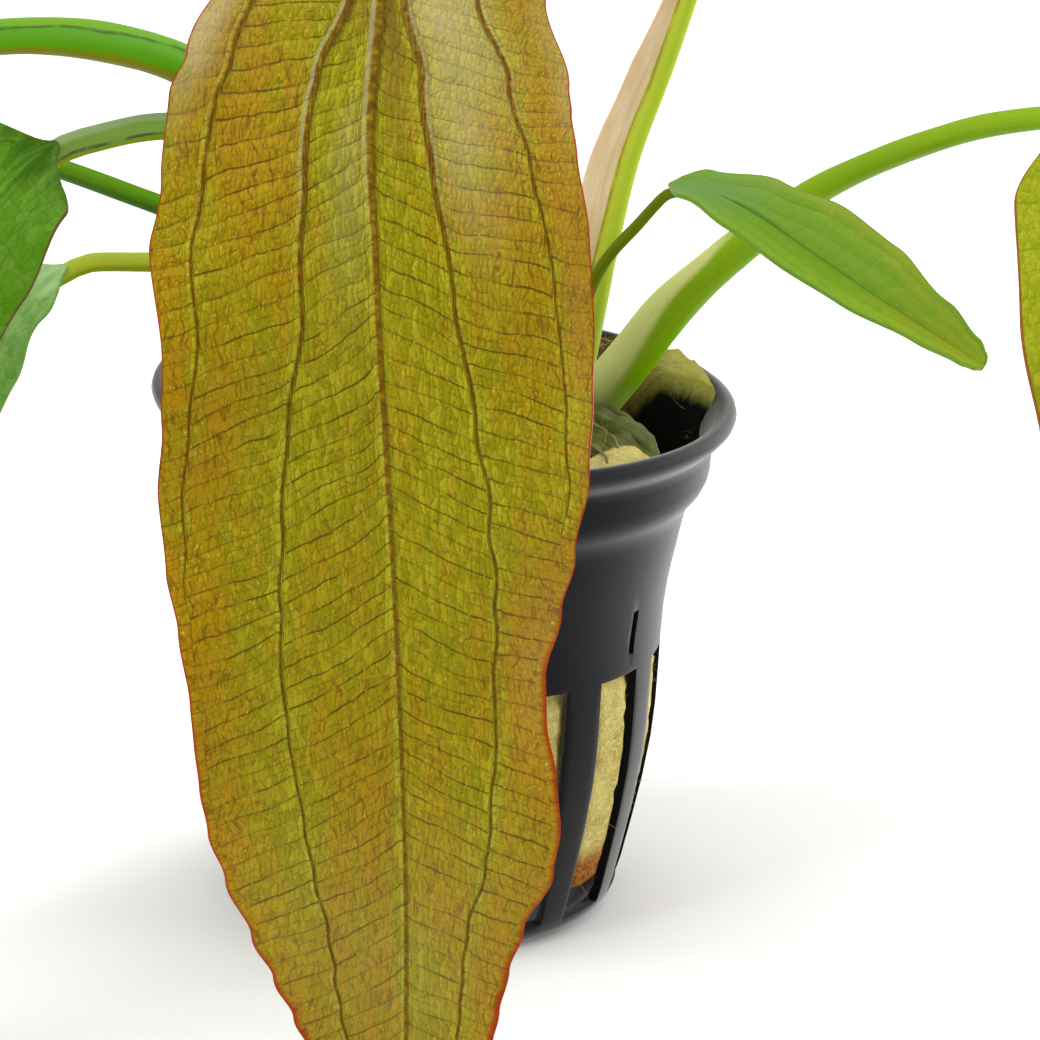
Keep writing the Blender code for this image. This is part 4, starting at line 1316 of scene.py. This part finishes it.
# How far the wool swells into each slot. It starts a little inside the slot's sides, its foot and its top,
# and reaches the whole over some more degrees or millimetres.
SLOT_SWELL = 0.95
SWELL_SIDE_DEG, SWELL_SIDE_OVER_DEG = 0.3, 1.6
SWELL_FOOT, SWELL_FOOT_OVER = 1.4, 2.0
SWELL_TOP, SWELL_TOP_OVER = 0.3, 1.2


def wool_lump(x, y, h):
    return noise.fractal(Vector((x, y, h)) * 0.4, 1.0, 2.0, 5)


def inner_radius(height):
    radii, heights = zip(*POT_OUTSIDE)
    return np.interp(height, heights, radii) - POT_WALL


def wool_height(x, y, lump):
    """How high the wool's top stands at a place, and how far that is below the hollow's edge."""
    direction = math.degrees(math.atan2(x, -y)) % 360
    at_wall = min(1, max(0, (math.hypot(x, y) - CREST_FROM) / CREST_OVER))
    height = WOOL_TOP + WOOL_ROUGH * lump
    for middle, spread, rise in WOOL_CRESTS:
        height += rise * math.exp(-((direction - middle) / spread) ** 2) * at_wall
    deep = ((x - HOLLOW_AT[0]) / HOLLOW_RADII[0]) ** 2 + ((y - HOLLOW_AT[1]) / HOLLOW_RADII[1]) ** 2
    deep += 0.1 * lump
    if deep < 1:
        sink = (1 - deep) ** 0.4
        return height - HOLLOW_DEEP * sink, HOLLOW_DEEP * sink
    return height, 0.0


def slot_swell(turn, h):
    """How far the wool swells outwards at a turn about the pot's axis and a height."""
    pitch = 360 / SLOTS
    direction = math.degrees(turn) + 90 - SLOT_FROM_DEG
    from_middle = abs((direction + pitch / 2) % pitch - pitch / 2)
    across = np.clip((SLOT_WIDE_DEG / 2 - SWELL_SIDE_DEG - from_middle) / SWELL_SIDE_OVER_DEG, 0, 1)
    foot = np.clip((h - SLOT_LOW - SWELL_FOOT) / SWELL_FOOT_OVER, 0, 1)
    top = np.clip((SLOT_HIGH - SWELL_TOP - h) / SWELL_TOP_OVER, 0, 1)
    return SLOT_SWELL * math.sin(across * math.pi / 2) * foot * top


def rock_wool():
    """The plug: a turned body, roughened, pressed against the wall, with the hollow by the plant."""
    sides = [(inner_radius(h) - WOOL_GAP, h) for h in WOOL_SIDE_HEIGHTS]
    top = [(r, WOOL_TOP) for r in WOOL_TOP_RADII]
    obj, radius, height, turn = turned("rock_wool.look", [*WOOL_UNDER, *sides, *top], WOOL_SIDES)
    spots, hollow_shade_depths = [], []
    for r, h, a in zip(radius, height, turn):
        x, y = r * math.cos(a), r * math.sin(a)
        lump = wool_lump(x, y, h)
        sink = 0.0
        if h < WOOL_TOP:
            r += slot_swell(a, h) - WOOL_SINKS - WOOL_ROUGH * abs(lump)
            r -= WOOL_LOW_GAP if h < WOOL_LOW else 0
        else:
            h, sink = wool_height(x, y, lump)
            radii, heights = zip(*POT_INSIDE_TOP)
            reach = min(inner_radius(h), np.interp(h, heights, radii))
            r = min(r * max(1, reach / radii[0]), reach - 0.15 - 0.2 * abs(lump))
        spots.append((r * math.cos(a), r * math.sin(a), h))
        hollow_shade_depths.append((sink, 0, 0))
    move_points(obj, np.array(spots) * MM)
    store(obj, "wool", hollow_shade_depths)
    smooth(obj, 80)
    return keep(obj, "rock_wool", WOOL, "rock_wool_plug")


FIBRES, FIBRE_SIDES, FIBRE_RINGS = 3600, 3, 4
FIBRE_BEND, FIBRE_TAPER = 0.28, 0.6
# The shortest and thinnest fibre, and how much more the others have
FIBRE_LONG, FIBRE_LONGER = 1.0, 1.6
FIBRE_THICK, FIBRE_THICKER = 0.025, 0.03
# No fibres grow deeper in the hollow than this, nor nearer to the plant's middle
BARE_DEEP, BARE_ROUND = 8, 8


def hairs(name, starts, ways, lengths, thick):
    """Many thin bent fibres in one mesh: one is copied, and then all are laid out."""
    obj, ring, turn = rod(name, FIBRE_SIDES, FIBRE_RINGS)
    copies = obj.modifiers.new("Copies", "ARRAY")
    copies.count = len(starts)
    copies.use_relative_offset = False
    apply_all(obj)
    maker = np.random.default_rng(7)
    ways = unit(ways)
    bend = maker.normal(0, FIBRE_BEND, ways.shape) * lengths[:, None]
    side = unit(np.cross(ways, maker.normal(0, 1, ways.shape)))
    other = np.cross(ways, side)
    u = ring[None, :, None] / (FIBRE_RINGS - 1)
    turn = turn[None, :, None]
    line = starts[:, None] + ways[:, None] * lengths[:, None, None] * u + bend[:, None] * u ** 2
    radius = thick[:, None, None] / 2 * (1 - FIBRE_TAPER * u)
    spots = line + radius * (side[:, None] * np.cos(turn) + other[:, None] * np.sin(turn))
    move_points(obj, spots.reshape(-1, 3) * MM)
    return obj


def wool_fibres():
    """Loose fibres on the wool's top, along the hollow's edge and in the slots."""
    maker = np.random.default_rng(3)
    starts, ways = [], []
    while len(starts) < FIBRES:
        if len(starts) % 3:
            r = 24 * math.sqrt(maker.random())
            a = maker.random() * 2 * math.pi
            x, y = r * math.sin(a), -r * math.cos(a)
            h, sink = wool_height(x, y, wool_lump(x, y, WOOL_TOP))
            if sink > BARE_DEEP or math.hypot(x - CROWN_AT[0], y - CROWN_AT[1]) < BARE_ROUND:
                continue
            starts.append((x, y, h - 0.1))
            ways.append((maker.normal(), maker.normal(), maker.normal() * 0.3 + 0.15))
        else:
            k = maker.integers(SLOTS)
            a = math.radians(SLOT_FROM_DEG + 360 / SLOTS * k + (maker.random() - 0.5) * SLOT_WIDE_DEG * 0.7)
            h = 5 + maker.random() * 20
            r = inner_radius(h) - 0.1
            starts.append((r * math.sin(a), -r * math.cos(a), h))
            ways.append((maker.normal() * 0.15, maker.normal() * 0.15, maker.normal()))
    lengths = FIBRE_LONG + FIBRE_LONGER * maker.random(FIBRES)
    thick = FIBRE_THICK + FIBRE_THICKER * maker.random(FIBRES)
    obj = hairs("wool_fibres", np.array(starts), np.array(ways), lengths, thick)
    return keep(obj, "rock_wool", FIBRE, "rock_wool_plug")


# The rootstock's middle height, and its reach sideways, up and down
STOCK_AT, STOCK_WIDE, STOCK_UP, STOCK_DOWN = 46.6, 7.6, 3.2, 1.2


def rootstock():
    """The short knobbly stem under the stalks."""
    obj = added(
        "rootstock.look", bpy.ops.mesh.primitive_uv_sphere_add,
        segments=64, ring_count=40, radius=1,
    )
    spots = []
    for x, y, z in points_of(obj):
        lump = noise.fractal(Vector((x, y, z)) * 2.6, 0.8, 2.0, 4)
        wide, tall = (1 + 0.16 * lump) * np.array((STOCK_WIDE, STOCK_UP if z > 0 else STOCK_DOWN))
        spots.append((CROWN_AT[0] + wide * x, CROWN_AT[1] + wide * y, STOCK_AT + tall * z))
    move_points(obj, np.array(spots) * MM)
    smooth(obj, 80)
    return keep(obj, "rootstock", ROOTSTOCK, "rootstock")


# Put together

for key, leaf in LEAVES.items():
    blade(key, leaf)
    stalk(key, leaf)
dry_sheath()
for key in OLD_BASES:
    old_leaf_base(key)
net_pot()
rock_wool()
wool_fibres()
rootstock()


# Floor, light and camera

floor = added("floor", bpy.ops.mesh.primitive_plane_add, size=8.0, location=(0, 2.0, 0))
place_in_mesh(floor)
floor.data.materials.append(floor_material())


LAMPS_AIM = Vector((0, 0, 0.06))


def lamp(name, place, size, power):
    """A soft square lamp aimed at the plant."""
    data = bpy.data.lights.new(name, "AREA")
    data.size = size
    data.energy = power
    obj = bpy.data.objects.new(name, data)
    bpy.context.scene.collection.objects.link(obj)
    obj.location = place
    obj.rotation_euler = (LAMPS_AIM - obj.location).to_track_quat("-Z", "Y").to_euler()


lamp("key", (-0.65, -0.35, 0.80), 0.7, 8.0)
lamp("back", (0.80, 0.55, 0.24), 0.8, 8.0)
lamp("side", (0.90, -0.05, 0.18), 0.5, 4.0)
lamp("top", (0.0, 0.1, 1.3), 1.0, 6.0)
world = bpy.data.worlds.new("studio")
bpy.context.scene.world = world
world.use_nodes = True
sky = world.node_tree.nodes["Background"]
sky.inputs["Color"].default_value = (1, 1, 1, 1)
sky.inputs["Strength"].default_value = 0.62

camera_data = bpy.data.cameras.new("camera")
camera = bpy.data.objects.new("camera", camera_data)
bpy.context.scene.collection.objects.link(camera)
camera.matrix_world = Matrix([
    *((right, up, -ahead, at * MM)
      for right, up, ahead, at in zip(CAMERA_RIGHT, CAMERA_UP, CAMERA_AHEAD, CAMERA_AT)),
    (0, 0, 0, 1),
])
camera_data.sensor_width = 36
camera_data.lens = CAMERA_LENS
camera_data.clip_start = 0.01
bpy.context.scene.camera = camera
bpy.context.scene.view_settings.view_transform = "Standard"
